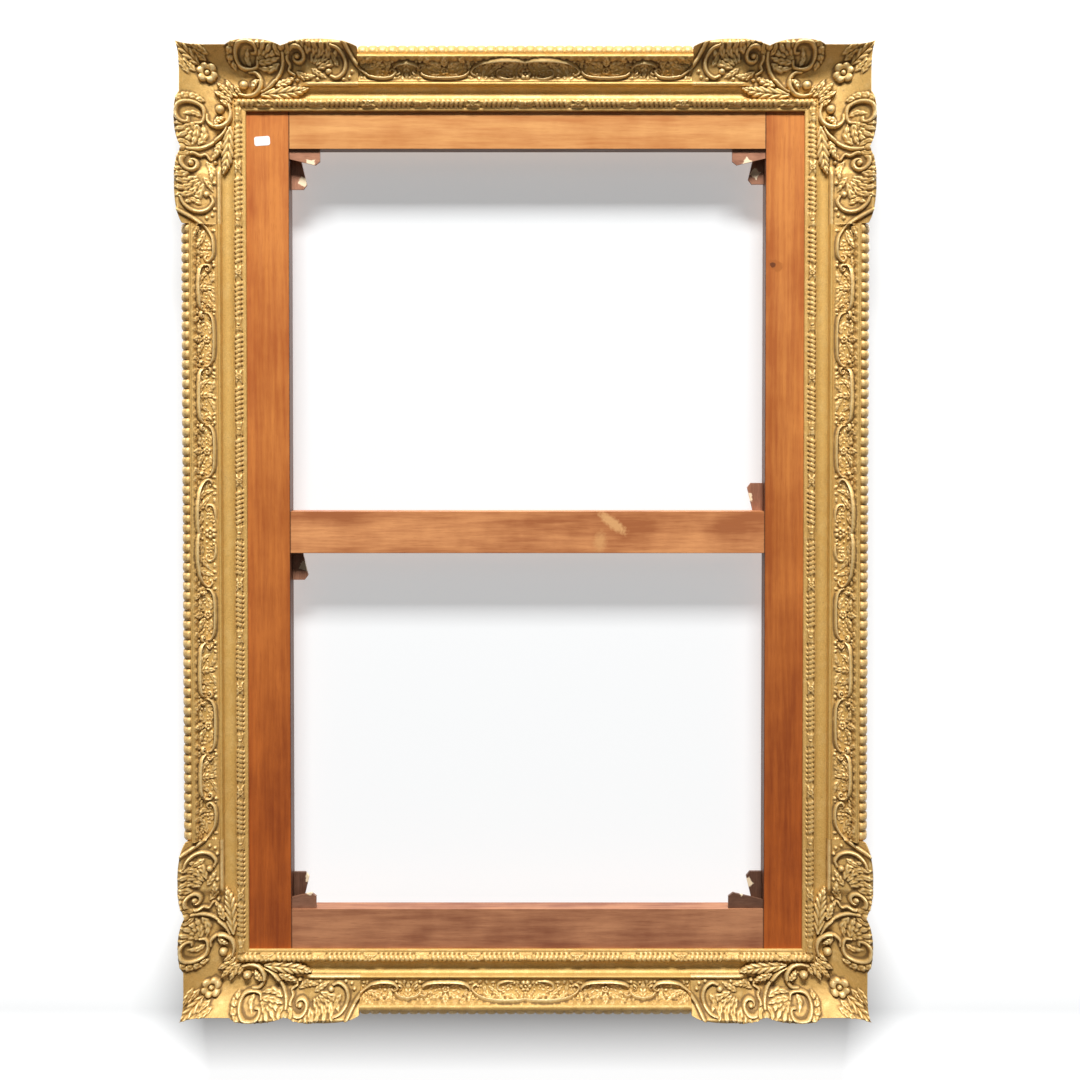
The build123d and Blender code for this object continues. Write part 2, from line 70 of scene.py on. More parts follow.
# A closed shell over a grid of points: the rows close on themselves and each end gets a cap.
def shellPiece(name, points, wearAndShade):
    columns, rows = points.shape[:2]
    c, r = np.meshgrid(np.arange(columns - 1), np.arange(rows), indexing="ij")
    nextRow = (r + 1) % rows
    quads = np.stack([c * rows + r, (c + 1) * rows + r, (c + 1) * rows + nextRow, c * rows + nextRow], axis=-1)
    quads = quads.reshape(-1, 4)
    flat = points.reshape(-1, 3)
    a, b, d, e = (flat[quads[:, k]] for k in range(4))
    volume = np.einsum("ij,ij->i", a, np.cross(b, d)).sum() + np.einsum("ij,ij->i", a, np.cross(d, e)).sum()
    caps = [list(range(rows))[::-1], list(range((columns - 1) * rows, columns * rows))]
    faces = quads.tolist() + caps
    if volume < 0:
        faces = [f[::-1] for f in faces]
    mesh = bpy.data.meshes.new(name)
    mesh.from_pydata(flat.tolist(), [], faces)
    smooth = np.ones(len(faces), dtype=bool)
    smooth[-2:] = False
    mesh.polygons.foreach_set("use_smooth", smooth)
    # this attribute carries rubbed ridges, and dirt with painted shade in the hollows, to the gilding
    layer = mesh.attributes.new("wearAndShade", "FLOAT", "POINT")
    layer.data.foreach_set("value", wearAndShade.reshape(-1).astype(np.float32))
    mesh.update()
    piece = bpy.data.objects.new(name, mesh)
    bpy.context.collection.objects.link(piece)
    return piece


# Box blur over n cells each way.
def blur(field, n):
    for axis in (0, 1):
        pad = [(n, n) if k == axis else (0, 0) for k in (0, 1)]
        total = np.cumsum(np.pad(field, pad, mode="edge"), axis=axis)
        total = np.insert(total, 0, 0, axis=axis)
        size = field.shape[axis]
        high = np.take(total, np.arange(2 * n + 1, 2 * n + 1 + size), axis=axis)
        low = np.take(total, np.arange(size), axis=axis)
        field = (high - low) / (2 * n + 1)
    return field


# Ridges are near 1 and hollows near -1, for rubbed gilding and dirt. The wide term also darkens broad recesses as
# painted shade.
def wearAndShadeOf(height, reach=4):
    wide = blur(blur(height, 8), 8)
    return np.clip((height - blur(height, reach)) / 1.3 + np.clip((height - wide + 0.8) / 4.5, -0.25, 0), -1, 1)


# Soft unevenness of gesso, the same on each run.
def unevenness(shape, seed, amount):
    rough = np.random.default_rng(seed).normal(size=shape)
    soft = blur(blur(rough, 2), 3)
    return soft / soft.std() * amount


def smoothStep(x, low, high):
    k = np.clip((x - low) / (high - low), 0, 1)
    return k * k * (3 - 2 * k)


# Smooth line through the given points.
def lineThrough(points, steps=6):
    p = np.array(points, float)
    p = np.vstack([2 * p[0] - p[1], p, 2 * p[-1] - p[-2]])
    t = np.linspace(0, 1, steps, endpoint=False)[:, None]
    runs = []
    for a, b, c, d in zip(p[:-3], p[1:-2], p[2:-1], p[3:]):
        runs.append(0.5 * (2 * b + (c - a) * t + (2 * a - 5 * b + 4 * c - d) * t**2 + (3 * b - a - 3 * c + d) * t**3))
    return np.vstack(runs + [p[-2:-1]])


# Grid points near a line: which, how far, and how far along.
def nearLine(relief, line, reach):
    u, v = relief["u"], relief["v"]
    low, high = line.min(0) - reach, line.max(0) + reach
    pick = np.nonzero((u > low[0]) & (u < high[0]) & (v > low[1]) & (v < high[1]))
    x, y = u[pick], v[pick]
    best = np.full(x.shape, 1e9)
    along = np.zeros(x.shape)
    count = len(line) - 1
    for i in range(count):
        start = line[i]
        run = line[i + 1] - start
        k = np.clip(((x - start[0]) * run[0] + (y - start[1]) * run[1]) / max(run @ run, 1e-9), 0, 1)
        gap = (x - start[0] - k * run[0]) ** 2 + (y - start[1] - k * run[1]) ** 2
        closer = gap < best
        best[closer] = gap[closer]
        along[closer] = (i + k[closer]) / count
    return pick, np.sqrt(best), along


# A new form is laid on the ground, with a cut line round it.
def layForm(relief, pick, gap, width, lifted, cut=1.0):
    ground = relief["h"][pick] * np.clip((gap - width) / cut, 0, 1)
    relief["h"][pick] = np.maximum(ground, lifted)


# Height of a round form, 1 along its middle and 0 at its edge.
def dome(gap, edge):
    return np.sqrt(np.clip(1 - (gap / edge) ** 2, 0, 1))


# Rounded strap that thins towards its ends.
def strap(relief, points, width, height, ends=(0.5, 0.5)):
    line = lineThrough(points)
    pick, gap, along = nearLine(relief, line, width + 2)
    first = ends[0] + (1 - ends[0]) * smoothStep(along, 0, 0.3)
    last = ends[1] + (1 - ends[1]) * smoothStep(1 - along, 0, 0.3)
    thin = np.minimum(first, last)
    wide = width * thin
    layForm(relief, pick, gap, wide, height * (0.5 + 0.5 * thin) * dome(gap, wide))


# Toothed leaf with a sunk vein and slanting ribs.
def leaf(relief, points, width, height, lobes=4):
    line = lineThrough(points, 8)
    pick, gap, along = nearLine(relief, line, width + 2)
    wide = width * np.sin(np.pi * np.clip(along, 0.03, 0.985) ** 0.75) ** 0.7
    tooth = np.abs(np.cos(np.pi * lobes * (along - 0.25 * gap / width)))
    edge = wide * (0.7 + 0.3 * tooth)
    vein = 1 - 0.4 * np.exp(-((gap / 0.9) ** 2))
    layForm(relief, pick, gap, edge, height * dome(gap, edge) * (0.62 + 0.38 * tooth) * vein)


# Round bead, half a ball or flatter.
def bead(relief, at, radius, height):
    gap = np.hypot(relief["u"] - at[0], relief["v"] - at[1])
    pick = np.nonzero(gap < radius + 2)
    gap = gap[pick]
    layForm(relief, pick, gap, radius, height * dome(gap, radius))


# Flower of cupped petals round a bead.
def flower(relief, at, radius, height, petals=5, turn=0.0):
    du, dv = relief["u"] - at[0], relief["v"] - at[1]
    gap = np.hypot(du, dv)
    pick = np.nonzero(gap < radius + 2)
    gap, angle = gap[pick], np.arctan2(dv[pick], du[pick]) + turn
    swell = np.abs(np.cos(angle * petals / 2)) ** 0.5
    edge = radius * (0.62 + 0.38 * swell)
    cup = np.clip(gap / edge, 0, 1)
    dish = np.sin(np.pi * cup**1.6) ** 0.6
    layForm(relief, pick, gap, edge, height * (0.35 + 0.65 * dish * (0.55 + 0.45 * swell)) * (cup < 1))
    bead(relief, at, radius * 0.3, height * 1.15)


# Oval hollow sunk into the ground.
def bowl(relief, at, radii, depth):
    reach = np.hypot((relief["u"] - at[0]) / radii[0], (relief["v"] - at[1]) / radii[1])
    relief["h"] = relief["h"] * (reach >= 1) - depth * dome(reach, 1)


# Short leaf that sweeps from the edge of a bowl out to its tip.
def fingerTo(relief, centre, tip, width):
    run = np.array(tip, float) - centre
    side = np.array([-run[1], run[0]])
    leaf(relief, [centre + run * 0.42 - side * 0.34, centre + run * 0.78 - side * 0.24, tip], width, 6.0, 2)


# Strap that comes in along lead and winds, from the angle start, to a bead at its eye. hand is the way it winds.
def volute(relief, at, radius, start, hand, width, height, turns, lead):
    k = np.linspace(0, 1, 14)
    angle = math.radians(start) + hand * 2 * math.pi * turns * k
    r = radius * (1 - 0.78 * k)
    spiral = [(at[0] + q * math.cos(w), at[1] + q * math.sin(w)) for q, w in zip(r, angle)]
    strap(relief, lead + spiral, width, height, (0.6, 0.55))
    bead(relief, at, radius * 0.26, height * 1.05)


# C-scroll along one edge of the band, its ends curling in. sense is 1 at the inner edge and -1 at the crest.
def cScroll(relief, start, end, edge, sense, width, height, depth=20.0, curl=5.5):
    angles = np.radians(np.linspace(-130, 180, 9))
    radii = np.linspace(0.4, 1, 9) * curl
    at = (start + curl + 1, edge + sense * depth)
    first = [(at[0] + r * math.cos(w), at[1] + sense * r * math.sin(w)) for r, w in zip(radii, angles)]
    middle = (start + end) / 2
    first += [(start + 2.5, edge + sense * depth * 0.55), (start + 9, edge + sense * depth * 0.2)]
    first += [(start + 21, edge + sense * 0.8)]
    last = [(start + end - t, s) for t, s in first[::-1]]
    strap(relief, first + [(middle, edge)] + last, width, height, (0.55, 0.55))
    bead(relief, at, 2.0, height)
    bead(relief, (start + end - at[0], at[1]), 2.0, height)


# Section through points, resampled evenly, with its normals.
def sectionAt(points, spacing, smoothing=0):
    p = np.array(points, float)
    run = np.concatenate([[0], np.cumsum(np.hypot(*np.diff(p, axis=0).T))])
    count = max(4, int(round(run[-1] / spacing)))
    s = np.linspace(0, run[-1], count + 1)
    out = np.stack([np.interp(s, run, p[:, k]) for k in (0, 1)], axis=-1)
    for _ in range(smoothing):
        out[1:-1] = (out[:-2] + 2 * out[1:-1] + out[2:]) / 4
    tangent = np.gradient(out, axis=0)
    tangent /= np.hypot(*tangent.T)[:, None]
    return s, out, np.stack([-tangent[:, 1], tangent[:, 0]], axis=-1)


# Section raised by a relief, with a sunk point before and after it. No v is under least.
def raiseSection(section, normal, h, sunk, least=-np.inf):
    v, f = (section[None, :, k] + normal[None, :, k] * h for k in (0, 1))
    column = np.ones((len(h), 1))
    v = np.hstack([column * sunk[0][0], np.maximum(v, least), column * sunk[1][0]])
    return v, np.hstack([column * sunk[0][1], f, column * sunk[1][1]])


def padEnds(wearAndShade, after=1):
    return np.pad(wearAndShade, ((0, 0), (1, after)), mode="edge")


# Sight edge: a narrow fillet and a row of small leaves tied every repeat.
sightEdge = {
    "step": 0.9, "width": 17.0, "repeat": 78.5, "tie": 14.0, "leaves": 7, "leafHeight": 2.4,
    "holeDepth": 3.0, "hole": 1.5, "smallHole": 1.0,
    "section": [(0.0, 35.4), (0.0, 36.4), (0.7, 37.1), (3.0, 37.5), (4.0, 37.0), (5.4, 38.2), (8.0, 40.0),
                (11.0, 42.0), (13.0, 43.2), (15.0, 42.8), (16.4, 40.6), (17.1, 38.0), (17.2, 36.0)],
    "sunk": ((0.6, 34.0), (16.6, 34.0)),
}


def makeSightEdge(side):
    half = halfW if side in ("top", "bottom") else halfH
    s, section, normal = sectionAt(sightEdge["section"], sightEdge["step"], 1)
    count = int((half + sightEdge["width"]) / sightEdge["step"])
    share = np.linspace(0, 1, count + 1)[:, None]
    t = share * (half + section[None, :, 0])
    relief = {"u": t, "v": np.broadcast_to(s[None, :], t.shape).copy(), "h": np.zeros(t.shape)}
    inner, outer = 6.0, s[-1] - 3.4
    middle = (inner + outer) / 2
    holes = []
    tie = sightEdge["tie"]
    pitch = (sightEdge["repeat"] - 2 * tie) / sightEdge["leaves"]
    for i in range(int(half // sightEdge["repeat"]) + 2):
        centre = i * sightEdge["repeat"]
        for sign in (-1, 1):  # ribbon tie
            ribbon = [(centre - 9, middle - sign * 4.5), (centre, middle), (centre + 9, middle + sign * 4.5)]
            strap(relief, ribbon, 2.2, 2.4)
        if i % 2:
            flower(relief, (centre, middle), 5.2, 2.8, 5)
        else:
            bead(relief, (centre, middle), 3.2, 2.8)
            for sign in (-1, 1):
                leaf(relief, [(centre + sign * 3, middle), (centre + sign * 11, middle + 1)], 3.6, 2.4, 2)
        for k in range(sightEdge["leaves"]):
            at = centre + tie + (k + 0.5) * pitch
            line = [(at - 4.2, outer - 0.5), (at - 0.6, middle), (at + 3.4, inner + 1.6)]
            leaf(relief, line, 3.4, sightEdge["leafHeight"], 2)
            leaf(relief, [(at - 0.5, inner + 0.5), (at + 1.6, inner + 3.0), (at + 2.6, inner + 5.4)], 1.8, 1.5, 1)
            holes.append((at + 2.4, outer - 2.6, sightEdge["hole"]))
            holes.append((at - 2.6, inner + 2.4, sightEdge["smallHole"]))
        for sign in (-1, 1):
            holes.append((centre + sign * 12.5, outer - 2.2, sightEdge["hole"]))
            holes.append((centre + sign * 12.0, inner + 1.8, sightEdge["smallHole"]))
    for along, across, radius in holes:
        gap = np.hypot(relief["u"] - along, relief["v"] - across)
        relief["h"] -= sightEdge["holeDepth"] * np.exp(-((gap / radius) ** 2))
    h = blur(relief["h"], 1) * 0.6 + relief["h"] * 0.4
    h = np.vstack([h[:0:-1], h])
    t = np.vstack([-t[:0:-1], t])
    h += unevenness(h.shape, 11, 0.07)
    v, f = raiseSection(section, normal, h, sightEdge["sunk"], 0.0)
    share = np.concatenate([-share[:0:-1], share])
    reach = half + v[:, 1:-1]
    t = np.hstack([share * (half + v[:, :1]), np.clip(t, -reach, reach), share * (half + v[:, -1:])])
    return shellPiece("sight_ornament_" + side, sidePlace(side, t, v, f), padEnds(wearAndShadeOf(h, 3)))


# Ornament band: C-scrolls in turn along its inner edge and along the crest, with flowers and leaves between.
band = {
    "step": 0.85, "base": 1.4, "strap": 2.2, "strapHeight": 6.2, "innerEdge": 4.4, "crestEdge": 35.0,
    "fill": 5.2, "hole": 2.2, "inside": 43.2,
    "arcs": {
        "top": [("inner", 82, 160), ("crest", 158, 198)],
        "left": [("inner", 82, 165), ("crest", 164, 250), ("inner", 249, 334), ("crest", 333, 404)],
    },  # from the middle of a side out to a corner
    "crest": [(74.4, 59.2), (75.4, 61.2), (77.0, 62.0), (78.6, 61.4), (79.7, 59.2), (79.8, 54.0)],
    # the bottom side's crest stands further out
    "lowCrest": [(74.4, 60.2), (75.6, 63.4), (78.4, 65.2), (82.4, 64.4), (85.4, 61.0), (86.0, 55.0)],
    "sunk": ((43.5, 34.0), (78.6, 42.0)),
}


def bandSection(crest):
    first, last = np.array(moulding["bandIn"]), np.array(moulding["bandOut"])
    run = last - first
    up = np.array([-run[1], run[0]]) / np.hypot(*run)
    k = np.linspace(0, 1, 40)[:, None]
    arc = first + run * k + up * (band["base"] - moulding["bandSag"] * 4 * k * (1 - k))
    return np.vstack([arc, crest])


# Forms between a C-scroll and the far edge of the band.
def fillArc(relief, kind, start, end):
    m = (start + end) / 2
    far = (end - start) / 2
    if kind == "inner":
        flower(relief, (m, 17), 7.0, 4.0, 5)
        for sign in (-1, 1):
            leaf(relief, [(m + sign * 6, 22), (m + sign * 13, 28), (m + sign * 24, 31)], 5.5, 3.6, 3)
            leaf(relief, [(m + sign * 8, 12), (m + sign * 18, 12), (m + sign * 27, 19)], 4.2, 3.0, 3)
            bead(relief, (m + sign * (far - 3), 34), 2.4, 3.2)
            line = [(m + sign * (far - 9), 31), (m + sign * (far - 14), 38), (m + sign * (far - 12), 43)]
            leaf(relief, line, 4.5, 3.4, 2)
        leaf(relief, [(m, 25), (m, 34), (m, 43)], 6.5, 4.0, 3)
    else:
        leaf(relief, [(m, 33), (m, 22), (m, 5)], 7.5, 4.0, 4)
        for sign in (-1, 1):
            leaf(relief, [(m + sign * 4, 30), (m + sign * 16, 25), (m + sign * 24, 13)], 5.4, 3.6, 3)
            leaf(relief, [(m + sign * 5, 14), (m + sign * 13, 8), (m + sign * 24, 5)], 4.2, 3.0, 3)
            bead(relief, (m + sign * 25, 30), 2.6, 3.4)
            bead(relief, (m + sign * (far - 2), 5), 2.6, 3.6)
            bead(relief, (m + sign * 14, 17), 1.8, 2.6)


# Half of the motif at the middle of a side, which is mirrored with the rest.
def centreMotif(relief):
    strap(relief, [(-3, 33), (6, 37.5), (22, 39.5), (42, 39), (62, 34), (75, 25), (81, 15), (76, 9), (70, 12)],
          band["strap"], band["strapHeight"], (0.8, 0.5))
    bead(relief, (72, 12), 2.2, 4.0)
    leaf(relief, [(52, 31), (60, 22), (64, 8)], 5.5, 3.6, 3)
    leaf(relief, [(34, 33), (42, 24), (56, 12)], 6.0, 3.8, 4)
    leaf(relief, [(14, 33), (22, 26), (36, 26)], 5.0, 3.4, 3)
    strap(relief, [(18, 4.5), (30, 4), (40, 8), (42, 16), (36, 19), (31, 15)], 2.2, 3.4)
    bead(relief, (34, 14), 2.0, 3.4)
    for angle in (20, 55, 90):  # beads round the middle flower
        w = math.radians(angle)
        bead(relief, (14.5 * math.cos(w), 13 + 14.5 * math.sin(w)), 2.3, 3.4)
    bead(relief, (17, 7), 2.4, 3.2)
    flower(relief, (0, 12), 9.5, 4.2, 6)


# Small leaves, beads and drilled holes in the ground that the forms leave bare.
def fillGround(relief, half):
    jitter = np.random.default_rng(17)
    for across in np.arange(band["innerEdge"] + 2.5, band["crestEdge"], band["fill"]):
        for along in np.arange(1.0, half, band["fill"]):
            at = (along + jitter.uniform(-1.2, 1.2), across + jitter.uniform(-1.2, 1.2))
            gap = np.hypot(relief["u"] - at[0], relief["v"] - at[1])
            free = relief["h"][gap < 2.0].max(initial=0)
            turn = jitter.uniform(0, math.pi)
            if free < 0.3 and jitter.uniform() < 0.65:
                run = np.array([math.cos(turn), math.sin(turn)]) * 3.4
                leaf(relief, [at - run, np.array(at) + run[::-1] * 0.2, at + run], 2.3, 3.0, 2)
            elif free < 0.3:
                bead(relief, at, 2.0, 2.6)
            elif relief["h"][gap < 1.2].max(initial=0) < 0.3:
                relief["h"] -= band["hole"] * np.exp(-((gap / 1.5) ** 2))


def makeBand(side):
    arcs = band["arcs"]["top" if side in ("top", "bottom") else "left"]
    low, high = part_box("band_" + side)
    half = 500 * max(high.x - low.x, high.z - low.z)
    crest = band["lowCrest" if side == "bottom" else "crest"]
    s, section, normal = sectionAt(bandSection(crest), band["step"], 2)
    t = np.linspace(0, half, int(half / band["step"]) + 1)
    relief = {"u": np.repeat(t[:, None], len(s), 1), "v": np.repeat(s[None, :], len(t), 0)}
    relief["h"] = np.zeros(relief["u"].shape)
    for x in np.arange(6, half, 12.5):  # small leaf tips along the crest
        leaf(relief, [(x, 35), (x, 44)], 5.0, 1.6, 2)
    for name, start, end in arcs:
        fillArc(relief, name, start, end)
    for name, start, end in arcs:
        edge, sense = (band["innerEdge"], 1) if name == "inner" else (band["crestEdge"], -1)
        cScroll(relief, start, end, edge, sense, band["strap"], band["strapHeight"])
        leaf(relief, [(start, 20), (start + 3, 21 + sense * 7), (start + 2, 21 + sense * 14)], 3.6, 3.0, 2)
    centreMotif(relief)
    tail = half - 3  # stem that comes in from the corner casting
    leaf(relief, [(tail - 8, 20), (tail - 20, 24), (tail - 34, 36)], 6.0, 3.6, 4)
    leaf(relief, [(tail - 2, 30), (tail - 8, 36), (tail - 18, 43)], 5.0, 3.2, 3)
    bead(relief, (tail - 34, 18), 3.0, 3.6)
    leaf(relief, [(tail - 40, 14), (tail - 42, 26), (tail - 36, 34)], 4.6, 3.2, 3)
    strap(relief, [(tail + 6, 27), (tail - 4, 16), (tail - 17, 7), (tail - 34, band["innerEdge"]), (tail - 47, 7),
                   (tail - 53, 15), (tail - 48, 20), (tail - 44, 16)],
          band["strap"] * 1.1, band["strapHeight"], (1, 0.5))
    fillGround(relief, half)
    h = blur(relief["h"], 1) * 0.5 + relief["h"] * 0.5
    h = np.vstack([h[:0:-1], h])
    t = np.concatenate([-t[:0:-1], t])
    h += unevenness(h.shape, 5, 0.1)
    v, f = raiseSection(section, normal, h, band["sunk"], band["inside"])
    points = sidePlace(side, np.repeat(t[:, None], v.shape[1], 1), v, f)
    return shellPiece("scroll_band_" + side, points, padEnds(wearAndShadeOf(h)))


# Gadrooned edge: plump lobes side by side down the outer slope.
gadroon = {
    "perLobe": 6, "pitch": 14.5, "depth": 5.4, "step": 4.4, "lobe": 0.9,
    "section": [(80.2, 53.0), (81.2, 56.4), (83.8, 58.8), (87.2, 58.6), (90.8, 56.2), (93.8, 51.8), (96.0, 46.0),
                (97.2, 40.0), (97.6, 34.0), (97.0, 30.0), (95.2, 28.4), (93.0, 28.2)],
    "sunk": ((80.0, 45.0), (90.0, 28.6)),
}


def makeGadroon(side):
    low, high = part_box("gadroon_" + side)
    length = 1000 * max(high.x - low.x, high.z - low.z)
    lobes = round(length / gadroon["pitch"])
    s, section, normal = sectionAt(gadroon["section"], gadroon["step"], 2)
    t = np.linspace(-length / 2, length / 2, lobes * gadroon["perLobe"] + 1)
    x = ((t + length / 2) / length * lobes) % 1 * 2 - 1
    x[-1] = -1
    swell = np.sqrt(np.clip(1 - (np.abs(x) / gadroon["lobe"]) ** 2.6, 0, 1))
    full = smoothStep(s, 0, 6.0) * (1 - 0.6 * smoothStep(s, 17.0, 26.0))
    h = -gadroon["depth"] * (1 - swell[:, None]) * (0.15 + 0.85 * full[None, :])
    h = h + unevenness(h.shape, 3, 0.1)
    # dark in the gaps between the lobes: dirt and painted shade
    wearAndShade = np.repeat(np.clip((swell[:, None] - 0.5) * 0.9, -1, 0.5), len(s), 1)
    v, f = raiseSection(section, normal, h, gadroon["sunk"])
    points = sidePlace(side, np.repeat(t[:, None], v.shape[1], 1), v, f)
    return shellPiece("gadroon_row_" + side, points, padEnds(wearAndShade))


# Corner casting, in a, the way along a rail from the outer corner, and v, the way out from the sight edge.
corner = {
    "columns": 300, "rows": 96, "inner": 17.6, "tip": 98.6, "neck": 93.0, "neckAt": 42.0, "lobeAt": 74.0,
    "notchAt": 156.0, "notch": 90.0, "apex": 101.0, "rimFrom": 180.0, "rimFull": 194.0, "sink": 0.7,
    "wall": [(0.7, -1.8), (0.5, -5.0), (-1.2, -11.0)], "foot": (91.4, 27.0), "back": 20.0,
    "rim": [(35.5, 37), (37.2, 42.6), (38.4, 44.4), (39.8, 45.1), (41.2, 44.6), (42.2, 42.6), (43.4, 41.8),
            (60, 45.5), (78, 51)],
}


# Outer edge: the ear, a straight neck and two lobes.
def cornerOutline(a):
    k = np.clip(a / corner["neckAt"], 0, 1)
    ear = corner["tip"] + (corner["neck"] - corner["tip"]) * np.sqrt(np.clip(1 - (1 - k) ** 2, 0, 1))
    v = np.where(a < corner["neckAt"], ear, corner["neck"])
    for start, end, low, high in (
        (corner["lobeAt"], corner["notchAt"], corner["neck"], corner["notch"]),
        (corner["notchAt"], moulding["cornerLength"], corner["notch"], corner["notch"]),
    ):
        k = np.clip((a - start) / (end - start), 0, 1)
        lobe = low + (high - low) * k + (corner["apex"] - (low + high) / 2) * np.sin(np.pi * k) ** 0.75
        v = np.where((a >= start) & (a <= end), lobe, v)
    return v


# Ground under the relief: the hollow, then the panel up to the brow, with the rail's rim at the far end.
def cornerGround(a, v):
    hollowIn, hollowOut, brow = moulding["hollowIn"], moulding["hollowOut"], moulding["brow"]
    k = np.clip((v - hollowIn[0]) / (hollowOut[0] - hollowIn[0]), 0, 1)
    hollow = hollowIn[1] + (hollowOut[1] - hollowIn[1]) * k - moulding["hollowSag"] * 4 * k * (1 - k)
    hollow = hollow - corner["sink"]
    k = np.clip((v - hollowOut[0]) / (brow[0] - hollowOut[0]), 0, 1)
    panel = hollowOut[1] + (brow[1] - hollowOut[1]) * k - moulding["cornerSag"] * 4 * k * (1 - k)
    panel = panel - np.clip(v - brow[0], 0, None) ** 2 * 0.09
    rim = np.interp(v, *np.transpose(corner["rim"]))
    later = smoothStep(a, corner["rimFrom"], corner["rimFull"])
    panel = panel + (np.maximum(panel, rim) - panel) * later
    return np.where(v < hollowOut[0], hollow, panel)


def cornerRelief(relief):
    # first lobe: a deep bowl in a C-scroll, with leaf fingers round it
    for tip in ((84, 60), (76, 69), (74, 80), (78, 91), (87, 99), (99, 103)):
        fingerTo(relief, (103, 79), tip, 7.0)
    for tip in ((112, 103), (122, 103), (132, 101), (142, 96), (149, 88), (151, 77)):
        leaf(relief, [(120, 70), (0.6 * tip[0] + 46, 0.45 * tip[1] + 37), tip], 5.8, 5.4, 3)
    leaf(relief, [(149, 68), (136, 61), (119, 63)], 5.8, 4.6, 3)
    bowl(relief, (103, 80), (15, 16), 5.5)
    leaf(relief, [(107, 66), (103, 75), (106, 88)], 4.4, 4.0, 3)
    strap(relief, [(118, 72), (116, 64), (105, 60.5), (93, 64), (87, 75), (88, 87), (96, 96), (108, 97.5),
                   (117, 91), (117, 83), (111, 82)], 3.1, 7.0, (0.6, 0.5))
    # second lobe: a bowl under a volute with fingers, rays fanned beside it and a scroll with a ball
    for tip in ((158, 78), (159, 88), (165, 97), (174, 103), (185, 105), (195, 103)):
        fingerTo(relief, (178, 79), tip, 6.6)
    bowl(relief, (178, 79), (13.5, 15), 5.5)
    leaf(relief, [(199, 72), (206, 86), (202, 101)], 6.0, 5.0, 3)
    leaf(relief, [(203, 70), (215, 84), (215, 101)], 6.2, 5.0, 3)
    leaf(relief, [(207, 67), (223, 79), (228, 99)], 6.2, 5.0, 4)
    leaf(relief, [(210, 62), (228, 70), (238, 88)], 6.0, 4.6, 4)
    leaf(relief, [(176, 57), (188, 50), (204, 51)], 5.6, 4.2, 4)
    leaf(relief, [(200, 60), (209, 54), (220, 48)], 5.0, 3.8, 3)
    volute(relief, (178, 78), 16.5, 225, -1, 3.0, 6.8, 1.25, [(172, 53), (164, 59)])
    for at in ((168, 47), (176, 45.5), (207, 46), (246, 46), (255, 49), (259, 57)):
        bead(relief, at, 2.7, 3.4)
    leaf(relief, [(238, 66), (233, 74), (229, 84)], 4.6, 3.6, 2)
    strap(relief, [(229, 92), (239, 88), (247, 79), (250, 67), (246, 55), (236, 48), (227, 51)],
          2.9, 5.6, (0.6, 0.7))
    bead(relief, (224, 57), 4.6, 5.6)
    strap(relief, [(247, 99), (252, 91), (258, 80), (265, 69), (272, 61)], 3.0, 5.8, (0.7, 1))
    # bud in the notch, with its stem crossing the panel into the hollow
    leaf(relief, [(152, 80), (147, 88), (149, 97)], 4.6, 4.2, 2)
    leaf(relief, [(160, 80), (165, 88), (162, 97)], 4.6, 4.2, 2)
    strap(relief, [(156, 90), (157, 78), (155, 66), (150, 54), (142, 43), (133, 34), (122, 28)],
          2.7, 5.2, (1, 0.5))
    bead(relief, (156, 90), 5.6, 6.8)
    # spray in the hollow: corner palmette, scroll with its ball, acanthus leaf lying over the rim
    leaf(relief, [(85, 22), (76, 33), (70, 46)], 5.8, 4.0, 3)
    leaf(relief, [(77, 21), (66, 31), (55, 42)], 6.6, 4.4, 4)
    leaf(relief, [(92, 22), (86, 30), (82, 38)], 4.4, 3.4, 3)
    leaf(relief, [(146, 37), (159, 42), (173, 51)], 6.8, 4.6, 4)
    leaf(relief, [(124, 23), (150, 25), (174, 28), (193, 33)], 10.5, 6.0, 6)
    strap(relief, [(89, 25), (101, 22), (113, 25), (121, 35), (121, 47), (114, 56), (104, 57)],
          3.2, 6.0, (0.6, 0.5))
    leaf(relief, [(118, 46), (112, 40), (108, 31)], 5.6, 4.4, 3)
    bead(relief, (96, 38), 6.2, 7.0)
    # ear: curled leaves over the corner
    leaf(relief, [(40, 74), (30, 82), (16, 86)], 6.4, 4.6, 4)
    leaf(relief, [(44, 82), (34, 88), (22, 93)], 5.0, 4.0, 3)
    leaf(relief, [(30, 68), (15, 83), (-1, 99)], 8.5, 5.6, 4)
    flower(relief, (42, 56), 15.5, 7.0, 5, math.radians(-45))


